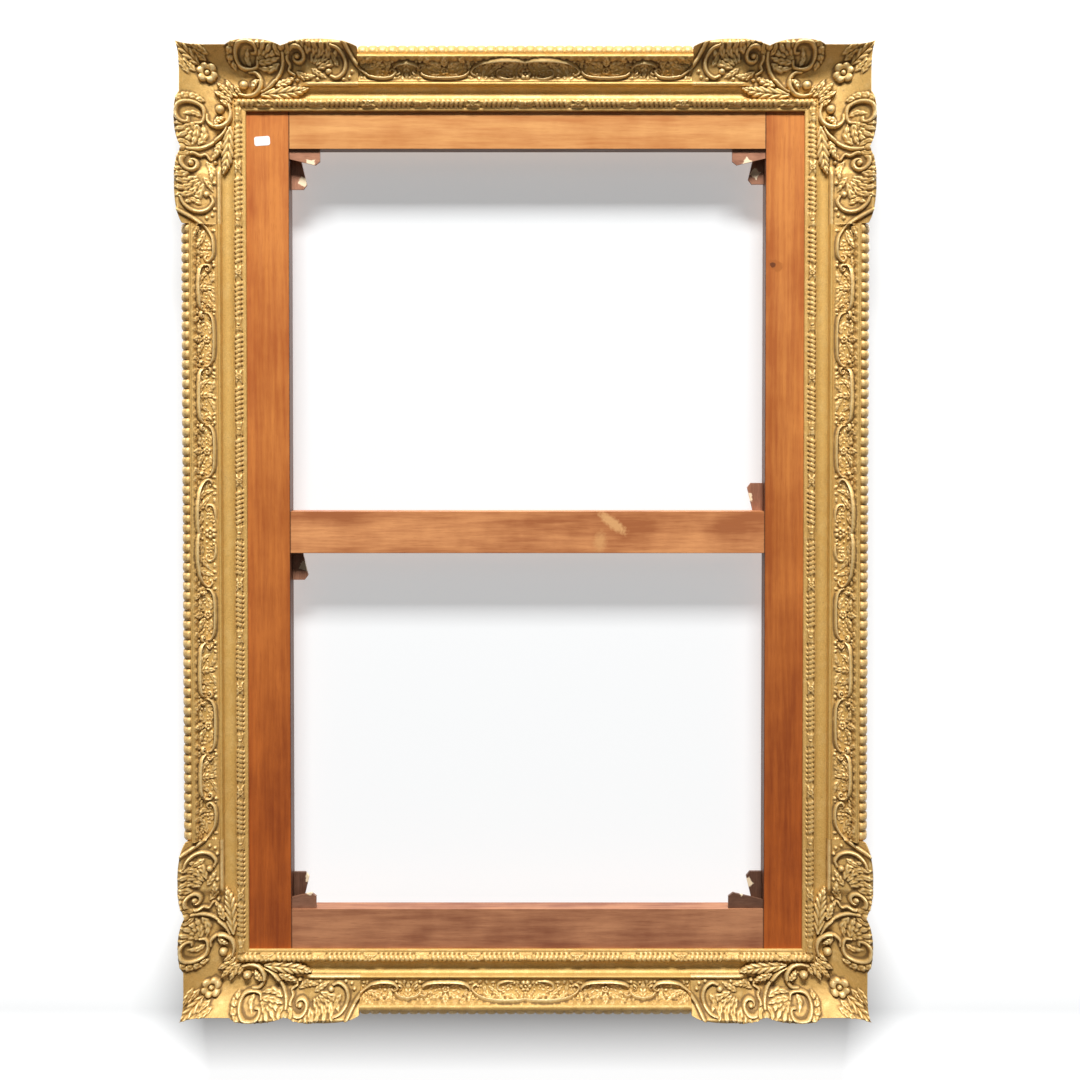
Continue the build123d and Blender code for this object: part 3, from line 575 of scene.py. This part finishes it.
# One casting as a grid, the leg along a rail and then its mirror along the other.
def cornerGrid():
    share = np.linspace(0, 1, corner["columns"] + 1)[:, None]
    start = moulding["width"] - moulding["cornerLength"]
    inU = start + share * (corner["inner"] - start)
    outU = start + share * (corner["tip"] - start)
    outV = cornerOutline(moulding["width"] - outU)
    b = np.linspace(0, 1, corner["rows"] + 1)[None, :]
    u = inU + (outU - inU) * b
    v = corner["inner"] + (outV - corner["inner"]) * b
    a = moulding["width"] - u
    relief = {"u": a, "v": v, "h": np.zeros(a.shape)}
    cornerRelief(relief)
    h = blur(relief["h"], 1) * 0.5 + relief["h"] * 0.5
    ground = cornerGround(a, v)
    lift = np.interp(v, [17, 36, 46], [36.0, 40.5, 41.0])  # forms in the hollow stand clear of it
    inHollow = (v < 46) & (h > 0.25) & (a < corner["rimFull"] + 2)
    full = np.clip(h / 1.2, 0, 1)
    ground = np.where(inHollow, np.maximum(ground, lift * full + ground * (1 - full)), ground)
    h = h + unevenness(h.shape, 9, 0.12)
    f = ground + h
    wearAndShade = wearAndShadeOf(f - blur(ground, 3) * 0.7, 4)
    back = np.full((len(share), 1), corner["back"])
    reach = np.hypot(outU - inU, outV - corner["inner"])
    rowsU, rowsV, rowsF = [inU, u], [np.full_like(inU, corner["inner"]), v], [back, f]
    for out, drop in corner["wall"]:
        k = 1 + out / reach
        rowsU.append(inU + (outU - inU) * k)
        rowsV.append(corner["inner"] + (outV - corner["inner"]) * k)
        rowsF.append(f[:, -1:] + drop)
    k = (corner["foot"][0] - corner["inner"]) / (outV - corner["inner"])
    for depth in (corner["foot"][1], corner["back"]):
        rowsU.append(inU + (outU - inU) * k)
        rowsV.append(np.full_like(inU, corner["foot"][0]))
        rowsF.append(np.full_like(inU, depth))
    u, v, f = np.hstack(rowsU), np.hstack(rowsV), np.hstack(rowsF)
    wearAndShade = padEnds(wearAndShade, len(corner["wall"]) + 2)
    both = np.concatenate([np.stack([u, v, f], -1), np.stack([v, u, f], -1)[-2::-1]])
    return both, np.concatenate([wearAndShade, wearAndShade[-2::-1]])


def makeCorner(name, grid, wearAndShade):
    right, up = (1 if "right" in name else -1), (1 if "top" in name else -1)
    place = np.stack([right * (halfW + grid[..., 0]), -grid[..., 2], up * (halfH + grid[..., 1])], -1) / 1000
    return shellPiece("corner_scrolls_" + name, place, wearAndShade)


ornaments = []


def keepOrnament(piece, node):
    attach(piece, "frame")
    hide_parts(node)
    ornaments.append(piece)


for side in ("top", "bottom", "left", "right"):
    keepOrnament(makeSightEdge(side), "sight_edge_" + side)
    keepOrnament(makeBand(side), "band_" + side)
    keepOrnament(makeGadroon(side), "gadroon_" + side)
print("sight edges, bands and gadroons made")
cornerPoints, cornerWear = cornerGrid()
for name in ("top_right", "top_left", "bottom_right", "bottom_left"):
    keepOrnament(makeCorner(name, cornerPoints, cornerWear), "corner_" + name)
print("corners made,", sum(len(p.data.polygons) for p in ornaments) * 2, "triangles of ornament")


# Materials. Small helpers for node trees. A value is either a socket to link or a constant.
def feed(tree, n, inputs):
    for key, value in inputs.items():
        if isinstance(value, bpy.types.NodeSocket):
            tree.links.new(value, n.inputs[key])
        else:
            n.inputs[key].default_value = value


def addNode(tree, kind, inputs=None, **settings):
    n = tree.nodes.new(kind)
    for key, value in settings.items():
        setattr(n, key, value)
    feed(tree, n, inputs or {})
    return n


def objectPlace(tree):
    return addNode(tree, "ShaderNodeTexCoord").outputs["Object"]


def mixColour(tree, factor, first, second, blend="MIX"):
    n = addNode(tree, "ShaderNodeMix", {0: factor, 6: first, 7: second}, data_type="RGBA", blend_type=blend)
    return n.outputs[2]


def mapValue(tree, value, fromLow, fromHigh, toLow, toHigh):
    n = addNode(tree, "ShaderNodeMapRange", {0: value, 1: fromLow, 2: fromHigh, 3: toLow, 4: toHigh})
    return n.outputs[0]


def math2(tree, operation, first, second):
    return addNode(tree, "ShaderNodeMath", {0: first, 1: second}, operation=operation).outputs[0]


def noiseAt(tree, vector, scale, detail=3.0, rough=0.55):
    inputs = {"Vector": vector, "Scale": scale, "Detail": detail, "Roughness": rough}
    return addNode(tree, "ShaderNodeTexNoise", inputs).outputs[0]


def mixShader(tree, factor, first, second):
    return addNode(tree, "ShaderNodeMixShader", {0: factor, 1: first.outputs[0], 2: second.outputs[0]})


def newGroup(name, inputs, outputs):
    tree = bpy.data.node_groups.new(name, "ShaderNodeTree")
    for key, kind, value in inputs:
        socket = tree.interface.new_socket(key, in_out="INPUT", socket_type=kind)
        socket.default_value = value
    for key, kind in outputs:
        tree.interface.new_socket(key, in_out="OUTPUT", socket_type=kind)
    return tree, tree.nodes.new("NodeGroupInput").outputs, tree.nodes.new("NodeGroupOutput")


# Gilding: ground colour in the hollows, dark with dirt and painted shade, leaf on the faces, rubbed bright on the
# ridges.
def gildingGroup():
    tree, given, out = newGroup(
        "wornShadedGilding",
        [("Wear", "NodeSocketFloat", 0.0), ("Bright", "NodeSocketColor", (0.95, 0.72, 0.34, 1)),
         ("Leaf", "NodeSocketColor", (0.76, 0.49, 0.155, 1)), ("DirtAndShade", "NodeSocketColor", (0.080, 0.032, 0.006, 1))],
        [("Color", "NodeSocketColor"), ("Roughness", "NodeSocketFloat"), ("Height", "NodeSocketFloat")])
    where = objectPlace(tree)
    large = noiseAt(tree, where, 7.0, 2.0)
    medium = noiseAt(tree, where, 70.0, 4.0)
    fine = noiseAt(tree, where, 520.0, 3.0, 0.6)
    wornAndShaded = math2(tree, "ADD", given["Wear"], mapValue(tree, medium, 0.3, 0.7, -0.3, 0.3))
    face = mixColour(tree, mapValue(tree, wornAndShaded, 0.05, 0.85, 0.0, 1.0), given["Leaf"], given["Bright"])
    hollow = math2(tree, "ADD", wornAndShaded, mapValue(tree, fine, 0.3, 0.7, -0.12, 0.12))
    # the dark colour in the hollows is dirt and painted shade
    dirtyAndShaded = mixColour(tree, mapValue(tree, hollow, -0.15, -0.9, 0.0, 0.72), face, given["DirtAndShade"])
    shade = mapValue(tree, large, 0.35, 0.7, 0.0, 0.35)
    toned = mixColour(tree, 0.45, dirtyAndShaded, mixColour(tree, shade, dirtyAndShaded, (0.50, 0.30, 0.08, 1), "MULTIPLY"))
    speck = mapValue(tree, noiseAt(tree, where, 240.0, 2.0), 0.66, 0.74, 0.0, 0.55)
    grain = noiseAt(tree, where, 850.0, 3.0, 0.65)
    grainy = mixColour(tree, mapValue(tree, grain, 0.36, 0.62, 0.0, 0.6), toned, (0.58, 0.46, 0.30, 1), "MULTIPLY")
    feed(tree, out, {
        "Color": mixColour(tree, speck, grainy, (0.30, 0.16, 0.045, 1)),
        "Roughness": mapValue(tree, math2(tree, "SUBTRACT", fine, wornAndShaded), -0.4, 1.4, 0.40, 0.72),
        "Height": math2(tree, "ADD", math2(tree, "MULTIPLY", grain, 0.6), medium)})
    return tree


# Pine: fine streaks and faint rings along the grain, with stain lying in clouds.
def pineGroup():
    tree, given, out = newGroup(
        "pineGrain",
        [("Vector", "NodeSocketVector", (0, 0, 0)), ("Light", "NodeSocketColor", (0.72, 0.33, 0.10, 1)),
         ("Dark", "NodeSocketColor", (0.40, 0.13, 0.03, 1))],
        [("Color", "NodeSocketColor"), ("Roughness", "NodeSocketFloat"), ("Height", "NodeSocketFloat")])
    along = given["Vector"]
    rings = addNode(tree, "ShaderNodeTexWave", {"Vector": along, "Scale": 3.2, "Distortion": 14.0, "Detail": 3.0,
                                                "Detail Scale": 0.7}, bands_direction="X").outputs[1]
    cloud = noiseAt(tree, along, 2.4, 4.0, 0.6)
    streak = noiseAt(tree, along, 14.0, 5.0, 0.7)
    pore = noiseAt(tree, along, 70.0, 2.0)
    blotch = noiseAt(tree, objectPlace(tree), 9.0, 4.0, 0.6)
    tone = mapValue(tree, cloud, 0.3, 0.7, -0.34, 0.34)
    tone = math2(tree, "ADD", tone, mapValue(tree, streak, 0.3, 0.7, 0.25, 0.75))
    tone = math2(tree, "ADD", tone, mapValue(tree, blotch, 0.3, 0.7, -0.28, 0.28))
    tone = math2(tree, "ADD", tone, mapValue(tree, rings, 0.0, 1.0, -0.07, 0.07))
    colour = mixColour(tree, mapValue(tree, tone, 0.1, 0.9, 0.0, 1.0), given["Light"], given["Dark"])
    dark = mixColour(tree, mapValue(tree, pore, 0.58, 0.72, 0.0, 0.35), colour, given["Dark"])
    feed(tree, out, {
        "Color": dark, "Roughness": mapValue(tree, streak, 0.3, 0.7, 0.36, 0.52),
        "Height": math2(tree, "ADD", streak, math2(tree, "MULTIPLY", pore, 0.5))})
    return tree


def newMaterial(name, **sockets):
    material = bpy.data.materials.new(name)
    material.use_nodes = True
    tree = material.node_tree
    shader = tree.nodes["Principled BSDF"]
    for key, value in sockets.items():
        shader.inputs[key.replace("_", " ")].default_value = value
    return material, tree, shader


def bumpInto(tree, shader, height, distance):
    n = addNode(tree, "ShaderNodeBump", {"Height": height, "Distance": distance})
    feed(tree, shader, {"Normal": n.outputs[0]})


def placeGroup(tree, group, **inputs):
    return addNode(tree, "ShaderNodeGroup", inputs, node_tree=group).outputs


gilding, pine = gildingGroup(), pineGroup()
gildLook = {"Metallic": 0.3, "Specular_IOR_Level": 0.6}


def ornamentMaterial():
    material, tree, shader = newMaterial("gilded_ornament", **gildLook)
    # the attribute holds rubbed ridges, and dirt with painted shade in the hollows
    wearAndShade = addNode(tree, "ShaderNodeAttribute", attribute_name="wearAndShade").outputs["Fac"]
    leafOut = placeGroup(tree, gilding, Wear=wearAndShade)
    feed(tree, shader, {"Base Color": leafOut["Color"], "Roughness": leafOut["Roughness"]})
    bumpInto(tree, shader, leafOut["Height"], 0.0005)
    return material


# The rail is gilded in front, washed with ochre down its outer edge and bare at the back.
def railMaterial():
    material, tree, shader = newMaterial("gilded_rail", Specular_IOR_Level=0.5)
    where = objectPlace(tree)
    depth = addNode(tree, "ShaderNodeSeparateXYZ", {0: where}).outputs[1]
    gold = placeGroup(tree, gilding, Wear=0.1, Leaf=(0.75, 0.48, 0.14, 1), Bright=(0.86, 0.62, 0.25, 1))
    grain = addNode(tree, "ShaderNodeMapping", {"Vector": where, "Scale": (8, 8, 8)}).outputs[0]
    bare = placeGroup(tree, pine, Vector=grain, Light=(0.46, 0.30, 0.15, 1), Dark=(0.24, 0.13, 0.06, 1))
    edge = math2(tree, "ADD", depth, mapValue(tree, noiseAt(tree, where, 40.0), 0.3, 0.7, -0.002, 0.002))
    side = mapValue(tree, edge, -0.027, -0.024, 0.0, 1.0)
    back = mapValue(tree, edge, -0.006, -0.003, 0.0, 1.0)
    ochre = mixColour(tree, mapValue(tree, noiseAt(tree, where, 25.0), 0.35, 0.65, 0.0, 1.0),
                      (0.44, 0.27, 0.08, 1), (0.33, 0.18, 0.05, 1))
    front = mixColour(tree, side, gold["Color"], ochre)
    feed(tree, shader, {
        "Base Color": mixColour(tree, back, front, bare["Color"]),
        "Metallic": mapValue(tree, side, 0.0, 1.0, gildLook["Metallic"], 0.0),
        "Roughness": addNode(tree, "ShaderNodeMix", {0: side, 2: gold["Roughness"], 3: 0.75}).outputs[0]})
    bumpInto(tree, shader, gold["Height"], 0.0003)
    return material


# Stretcher wood, with the grain along each bar. Low on the stiles the colour turns darker and warmer: painted shade.
stileInside = (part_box("stretcher_stile_left")[1].x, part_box("stretcher_stile_right")[0].x)
# darker and warmer colours low on the stiles: painted shade
lowShade = {"light": (0.48, 0.115, 0.018), "dark": (0.26, 0.052, 0.009), "from": 0.25, "to": -0.45}
# A dark colour for painted shade.
paintedShade = (0.07, 0.022, 0.008)
shoulders = [{"at": (x, 0), "size": (0.0013, 2.0), "colour": (0.10, 0.035, 0.012), "amount": 0.8}
             for x in stileInside]
# painted shade on the inner side faces of the stiles
stileSideShade = [{"at": (x, 0), "size": (0.0009, 2.0), "colour": paintedShade, "amount": 0.9} for x in stileInside]
# painted shade under the top rail and the cross bar
undersideShade = [{"at": (0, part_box(n)[0].z), "size": (2.0, 0.0007), "colour": paintedShade, "amount": 0.85}
              for n in ("stretcher_rail_top", "stretcher_cross_bar")]
knots = [
    {"at": (0.377, 0.403), "size": (0.013, 0.009), "turn": 25, "colour": (0.36, 0.11, 0.025), "amount": 0.6},
    {"at": (0.373, 0.404), "size": (0.0045, 0.0045), "colour": (0.12, 0.035, 0.012), "amount": 0.9},
]
scar = [
    {"at": (0.132, 0.014), "size": (0.030, 0.0095), "turn": 37, "colour": (0.74, 0.40, 0.165), "amount": 0.85,
     "soft": 0.5},
    {"at": (0.113, -0.014), "size": (0.012, 0.020), "turn": 8, "colour": (0.72, 0.38, 0.15), "amount": 0.6,
     "soft": 0.7},
]
stretcher = {
    "stretcher_stile_left": {"light": (0.62, 0.22, 0.052), "dark": (0.40, 0.105, 0.022), "along": "z", "shift": 0.0,
                             "low": lowShade, "marks": stileSideShade[:1]},
    "stretcher_stile_right": {"light": (0.62, 0.23, 0.056), "dark": (0.40, 0.11, 0.024), "along": "z", "shift": 3.7,
                              "low": lowShade, "marks": knots + stileSideShade[1:]},
    "stretcher_rail_top": {"light": (0.70, 0.345, 0.118), "dark": (0.48, 0.180, 0.048), "along": "x", "shift": 1.9,
                           "marks": shoulders + undersideShade[:1]},
    "stretcher_rail_bottom": {"light": (0.55, 0.245, 0.118), "dark": (0.255, 0.088, 0.042), "along": "x", "shift": 5.3,
                              "marks": shoulders},
    "stretcher_cross_bar": {"light": (0.73, 0.32, 0.124), "dark": (0.38, 0.125, 0.043), "along": "x", "shift": 7.1,
                            "marks": scar + shoulders + undersideShade[1:]},
}


# A patch of another colour on a flat face, with a ragged edge.
def addMark(tree, where, colour, mark):
    inputs = {"Vector": where, "Location": (mark["at"][0], 0, mark["at"][1]),
              "Rotation": (0, math.radians(mark.get("turn", 0)), 0), "Scale": (mark["size"][0], 1.0, mark["size"][1])}
    local = addNode(tree, "ShaderNodeMapping", inputs, vector_type="TEXTURE").outputs[0]
    if mark.get("square"):
        part = addNode(tree, "ShaderNodeSeparateXYZ", {0: local}).outputs
        across, up = (math2(tree, "ABSOLUTE", part[k], 0.0) for k in (0, 2))
        reach = math2(tree, "MAXIMUM", across, up)
    else:
        reach = addNode(tree, "ShaderNodeVectorMath", {0: local}, operation="LENGTH").outputs["Value"]
    ragged = mapValue(tree, noiseAt(tree, where, 260.0, 3.0), 0.3, 0.7, -0.18, 0.18)
    reach = math2(tree, "ADD", reach, ragged)
    inside = mapValue(tree, reach, 1.0, 1 - mark.get("soft", 0.2), 0.0, mark["amount"])
    return mixColour(tree, inside, colour, (*mark["colour"], 1))


def woodMaterial(name, light, dark, along, shift, stretch=(10.0, 0.7), low=None, marks=()):
    material, tree, shader = newMaterial(name, Specular_IOR_Level=0.3)
    where = objectPlace(tree)
    across, lengthways = stretch
    scale = (lengthways, across, across) if along == "x" else (across, across, lengthways)
    inputs = {"Vector": where, "Location": (shift, shift, shift), "Scale": scale}
    grain = addNode(tree, "ShaderNodeMapping", inputs).outputs[0]
    light, dark = (*light, 1), (*dark, 1)
    if low:
        height = addNode(tree, "ShaderNodeSeparateXYZ", {0: where}).outputs[2]
        deep = mapValue(tree, height, low["from"], low["to"], 0.0, 1.0)
        light = mixColour(tree, deep, light, (*low["light"], 1))
        dark = mixColour(tree, deep, dark, (*low["dark"], 1))
    wood = placeGroup(tree, pine, Vector=grain, Light=light, Dark=dark)
    colour = wood["Color"]
    for mark in marks:
        colour = addMark(tree, where, colour, mark)
    feed(tree, shader, {"Base Color": colour, "Roughness": wood["Roughness"]})
    bumpInto(tree, shader, wood["Height"], 0.0002)
    return material


# Keys: brown wood, each with a bare pale square where the stain is off.
keys = {
    "light": (0.46, 0.215, 0.125), "dark": (0.25, 0.105, 0.06), "bare": (0.93, 0.74, 0.50), "square": 0.0068,
    # some keys are dimmed by a factor: painted shade, deepest on the lower keys
    "tone": {"key_bottom_left_stile": 0.36, "key_bottom_right_stile": 0.34, "key_bottom_right_rail": 0.36,
             "key_bottom_left_rail": 0.62, "key_top_right_stile": 0.68, "key_bar_left": 0.72},
    "patch": {"key_top_left_rail": (-0.324, 0.556, 0), "key_top_left_stile": (-0.338, 0.532, 25),
              "key_top_right_rail": (0.335, 0.558, 35), "key_top_right_stile": (0.349, 0.544, 35),
              "key_bottom_left_rail": (-0.330, -0.547, 20), "key_bottom_left_stile": (-0.331, -0.532, 0),
              "key_bottom_right_rail": (0.330, -0.547, -35), "key_bottom_right_stile": (0.341, -0.540, -35),
              "key_bar_left": (-0.338, -0.053, 20), "key_bar_right": (0.339, 0.052, 0)},
}


def keyMaterial(name):
    tone = keys["tone"].get(name, 1.0)
    x, z, turn = keys["patch"][name]
    patch = {"at": (x, z), "size": (keys["square"], keys["square"]), "turn": turn, "square": True,
             "colour": keys["bare"], "amount": 0.95}
    # the factor dims the key's colours as painted shade
    light, dark = ([c * tone for c in keys[k]] for k in ("light", "dark"))
    along = "x" if name.endswith("_rail") else "z"
    return woodMaterial(name, light, dark, along, 0.4, (26.0, 4.0), marks=[patch])


def metalMaterial(name, colour, tarnish, rough):
    material, tree, shader = newMaterial(name, Metallic=1.0)
    where = objectPlace(tree)
    spots = mapValue(tree, noiseAt(tree, where, 160.0, 4.0), 0.4, 0.68, 0.0, 0.8)
    feed(tree, shader, {
        "Base Color": mixColour(tree, spots, (*colour, 1), (*tarnish, 1)),
        "Roughness": mapValue(tree, noiseAt(tree, where, 420.0), 0.3, 0.7, rough - 0.08, rough + 0.14)})
    bumpInto(tree, shader, noiseAt(tree, where, 700.0, 2.0), 0.0001)
    return material


def dress(thing, material):
    thing.data.materials.clear()
    thing.data.materials.append(material)


goldOrnament, goldRail = ornamentMaterial(), railMaterial()
brass = metalMaterial("dull_brass", (0.66, 0.48, 0.20), (0.30, 0.19, 0.07), 0.36)
steel = metalMaterial("screw_steel", (0.46, 0.44, 0.41), (0.20, 0.16, 0.13), 0.42)
feather = woodMaterial("feather_wood", (0.58, 0.40, 0.22), (0.36, 0.22, 0.10), "x", 2.0)
for piece in ornaments:
    dress(piece, goldOrnament)
for name, node in nodes.items():
    if name.startswith("rail_"):
        dress(node, goldRail)
    elif name in stretcher:
        dress(node, woodMaterial(name, **stretcher[name]))
    elif name.startswith("key_"):
        dress(node, keyMaterial(name))
    elif name.startswith("mitre_feather"):
        dress(node, feather)
    elif name.endswith("_screws"):
        dress(node, steel)
    elif name.startswith(("turn_button", "hanger")):
        dress(node, brass)
print("materials placed")

# Blank paper sticker on the left stile.
sticker = {"size": (0.0236, 0.0138), "corner": 0.0032, "thick": 0.0003, "place": (-0.3962, 0.590), "tilt": 4.0}


def makeSticker():
    bpy.ops.object.select_all(action="DESELECT")
    bpy.ops.mesh.primitive_plane_add(size=1)
    piece = bpy.context.active_object
    piece.name = piece.data.name = "blank_sticker"
    piece.scale = (*sticker["size"], 1)
    bpy.ops.object.transform_apply(location=False, rotation=False, scale=True)
    bpy.ops.object.mode_set(mode="EDIT")
    bpy.ops.mesh.select_all(action="SELECT")
    bpy.ops.mesh.bevel(offset=sticker["corner"], segments=5, affect="VERTICES")
    bpy.ops.mesh.select_all(action="SELECT")
    bpy.ops.mesh.extrude_region_move(TRANSFORM_OT_translate={"value": (0, 0, sticker["thick"])})
    bpy.ops.mesh.select_all(action="SELECT")
    bpy.ops.mesh.normals_make_consistent(inside=False)
    bpy.ops.object.mode_set(mode="OBJECT")
    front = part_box("stretcher_stile_left")[0].y
    piece.rotation_euler = (math.pi / 2, math.radians(-sticker["tilt"]), 0)
    piece.location = (sticker["place"][0], front + 0.00005, sticker["place"][1])
    bpy.ops.object.transform_apply(location=True, rotation=True, scale=True)
    return piece


blankSticker = makeSticker()
paper, paperTree, paperShader = newMaterial("sticker_paper", Roughness=0.55)
fibre = noiseAt(paperTree, objectPlace(paperTree), 900.0, 4.0)
pulp = mapValue(paperTree, fibre, 0.35, 0.65, 0.0, 1.0)
feed(paperTree, paperShader, {"Base Color": mixColour(paperTree, pulp, (0.88, 0.88, 0.86, 1), (0.80, 0.80, 0.78, 1))})
bumpInto(paperTree, paperShader, fibre, 0.00008)
dress(blankSticker, paper)
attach(blankSticker, "frame")
print("sticker placed")

# Stage: a white wall close behind, open from the back, and a pale floor.
stage = {
    "wallGap": 0.034, "wallSize": 6.0, "wallBounce": 0.30, "seenWhite": (0.463, 0.474, 0.478),
    "floor": -0.90, "floorSize": 12.0, "floorBounce": 0.05, "floorSeen": (0.40, 0.44),
    # heights and levels of the glow: white at the foot, a painted shadow close under the frame, even in the opening
    "wallLightAndShadeAt": [(-0.85, 0.95), (-0.755, 0.2), (-0.6, 0.55), (0.6, 0.4)],
    # the wall beside the frame gets painted light
    "glowReach": 0.9, "paintedSideLight": 0.4, "sideFrom": (0.50, 0.62),
}


# Rays that see the pale background. The others, which light the object, see a darker one.
def seenRays(tree):
    path = addNode(tree, "ShaderNodeLightPath").outputs
    seen = math2(tree, "MAXIMUM", path["Is Camera Ray"], path["Is Glossy Ray"])
    return math2(tree, "MAXIMUM", seen, path["Is Transmission Ray"])


def stagePlane(name, size, place, turn):
    bpy.ops.object.select_all(action="DESELECT")
    bpy.ops.mesh.primitive_plane_add(size=size, location=place, rotation=turn)
    plane = bpy.context.active_object
    plane.name = name
    return plane


def wallMaterial():
    bounce = (*[stage["wallBounce"]] * 3, 1)
    material, tree, shader = newMaterial("white_wall", Base_Color=bounce, Roughness=0.9, Specular_IOR_Level=0.1)
    geometry = addNode(tree, "ShaderNodeNewGeometry").outputs
    place = addNode(tree, "ShaderNodeSeparateXYZ", {0: geometry["Position"]}).outputs
    reach = stage["glowReach"]
    glowRamp = addNode(tree, "ShaderNodeValToRGB", {0: mapValue(tree, place[2], -reach, reach, 0.0, 1.0)})
    stops = glowRamp.color_ramp.elements
    for z, level in stage["wallLightAndShadeAt"]:
        stop = stops.new((z + reach) / (2 * reach))
        stop.color = (level, level, level, 1)
    stops.remove(stops[-1])
    stops.remove(stops[0])
    # painted light beside the frame, added to the painted light and shade by height
    aside = math2(tree, "ABSOLUTE", place[0], 0.0)
    level = math2(tree, "ADD", glowRamp.outputs[0], mapValue(tree, aside, *stage["sideFrom"], 0.0, stage["paintedSideLight"]))
    glow = addNode(tree, "ShaderNodeEmission", {"Color": (1, 1, 1, 1), "Strength": level})
    white = addNode(tree, "ShaderNodeBsdfDiffuse", {"Color": (*stage["seenWhite"], 1)})
    bright = addNode(tree, "ShaderNodeAddShader", {0: white.outputs[0], 1: glow.outputs[0]})
    lit = mixShader(tree, seenRays(tree), shader, bright)
    clear = addNode(tree, "ShaderNodeBsdfTransparent")
    shadow = addNode(tree, "ShaderNodeLightPath").outputs["Is Shadow Ray"]  # the back lamps shine through
    both = mixShader(tree, math2(tree, "MAXIMUM", geometry["Backfacing"], shadow), lit, clear)
    feed(tree, tree.nodes["Material Output"], {"Surface": both.outputs[0]})
    return material


wallMiddle = (0, stage["wallGap"], stage["floor"] + stage["wallSize"] / 2)
wall = stagePlane("back_wall", stage["wallSize"], wallMiddle, (math.pi / 2, 0, 0))
dress(wall, wallMaterial())
floor = stagePlane("pale_floor", stage["floorSize"], (0, 0, stage["floor"]), (0, 0, 0))
floorLook, floorTree, floorShader = newMaterial("pale_floor", Roughness=0.8)
floorTint = mapValue(floorTree, noiseAt(floorTree, objectPlace(floorTree), 3.0), 0.3, 0.7, *stage["floorSeen"])
feed(floorTree, floorShader, {"Base Color": floorTint})
dimFloor = addNode(floorTree, "ShaderNodeBsdfDiffuse", {"Color": (*[stage["floorBounce"]] * 3, 1)})
floorMix = mixShader(floorTree, seenRays(floorTree), dimFloor, floorShader)
feed(floorTree, floorTree.nodes["Material Output"], {"Surface": floorMix.outputs[0]})
dress(floor, floorLook)

# Camera and lights. The lamps look at the middle of the frame.
camera = {"place": (0.022, -2.4, 0.203), "pitch": 1.236, "lens": 52.25, "shift": -0.1}
lens = bpy.data.cameras.new("camera")
lens.lens, lens.sensor_width, lens.shift_y = camera["lens"], 36.0, camera["shift"]
viewer = bpy.data.objects.new("camera", lens)
viewer.location = camera["place"]
viewer.rotation_euler = (math.radians(90 - camera["pitch"]), 0, 0)
bpy.context.collection.objects.link(viewer)
bpy.context.scene.camera = viewer

lamps = {
    "key": {"place": (0.0, -2.9, 4.4), "size": (2.6, 0.9), "power": 522.0},
    "front": {"place": (0.0, -4.4, 2.3), "size": (2.0, 1.0), "power": 8.0},
    "backLeft": {"place": (-2.6, 2.6, 1.6), "size": (1.5, 1.5), "power": 75.0},
    "backRight": {"place": (2.6, 2.8, 1.4), "size": (1.5, 1.5), "power": 75.0},
}
for name, settings in lamps.items():
    light = bpy.data.lights.new(name, "AREA")
    light.shape = "RECTANGLE"
    light.size, light.size_y = settings["size"]
    light.energy = settings["power"]
    lamp = bpy.data.objects.new(name, light)
    lamp.location = x, y, z = settings["place"]
    lamp.rotation_euler = (math.atan2(math.hypot(x, y), z), 0, math.atan2(x, -y))
    bpy.context.collection.objects.link(lamp)

air = {"lights": 0.01, "seen": 0.08}
world = bpy.data.worlds.new("studio")
world.use_nodes = True
worldTree = world.node_tree
dimAir, seenAir = worldTree.nodes["Background"], addNode(worldTree, "ShaderNodeBackground")
feed(worldTree, dimAir, {"Color": (1, 1, 1, 1), "Strength": air["lights"]})
feed(worldTree, seenAir, {"Color": (1, 1, 1, 1), "Strength": air["seen"]})
airMix = mixShader(worldTree, seenRays(worldTree), dimAir, seenAir)
feed(worldTree, worldTree.nodes["World Output"], {"Surface": airMix.outputs[0]})
bpy.context.scene.world = world
bpy.context.scene.view_settings.view_transform = "Standard"
print("stage, camera and lights placed")
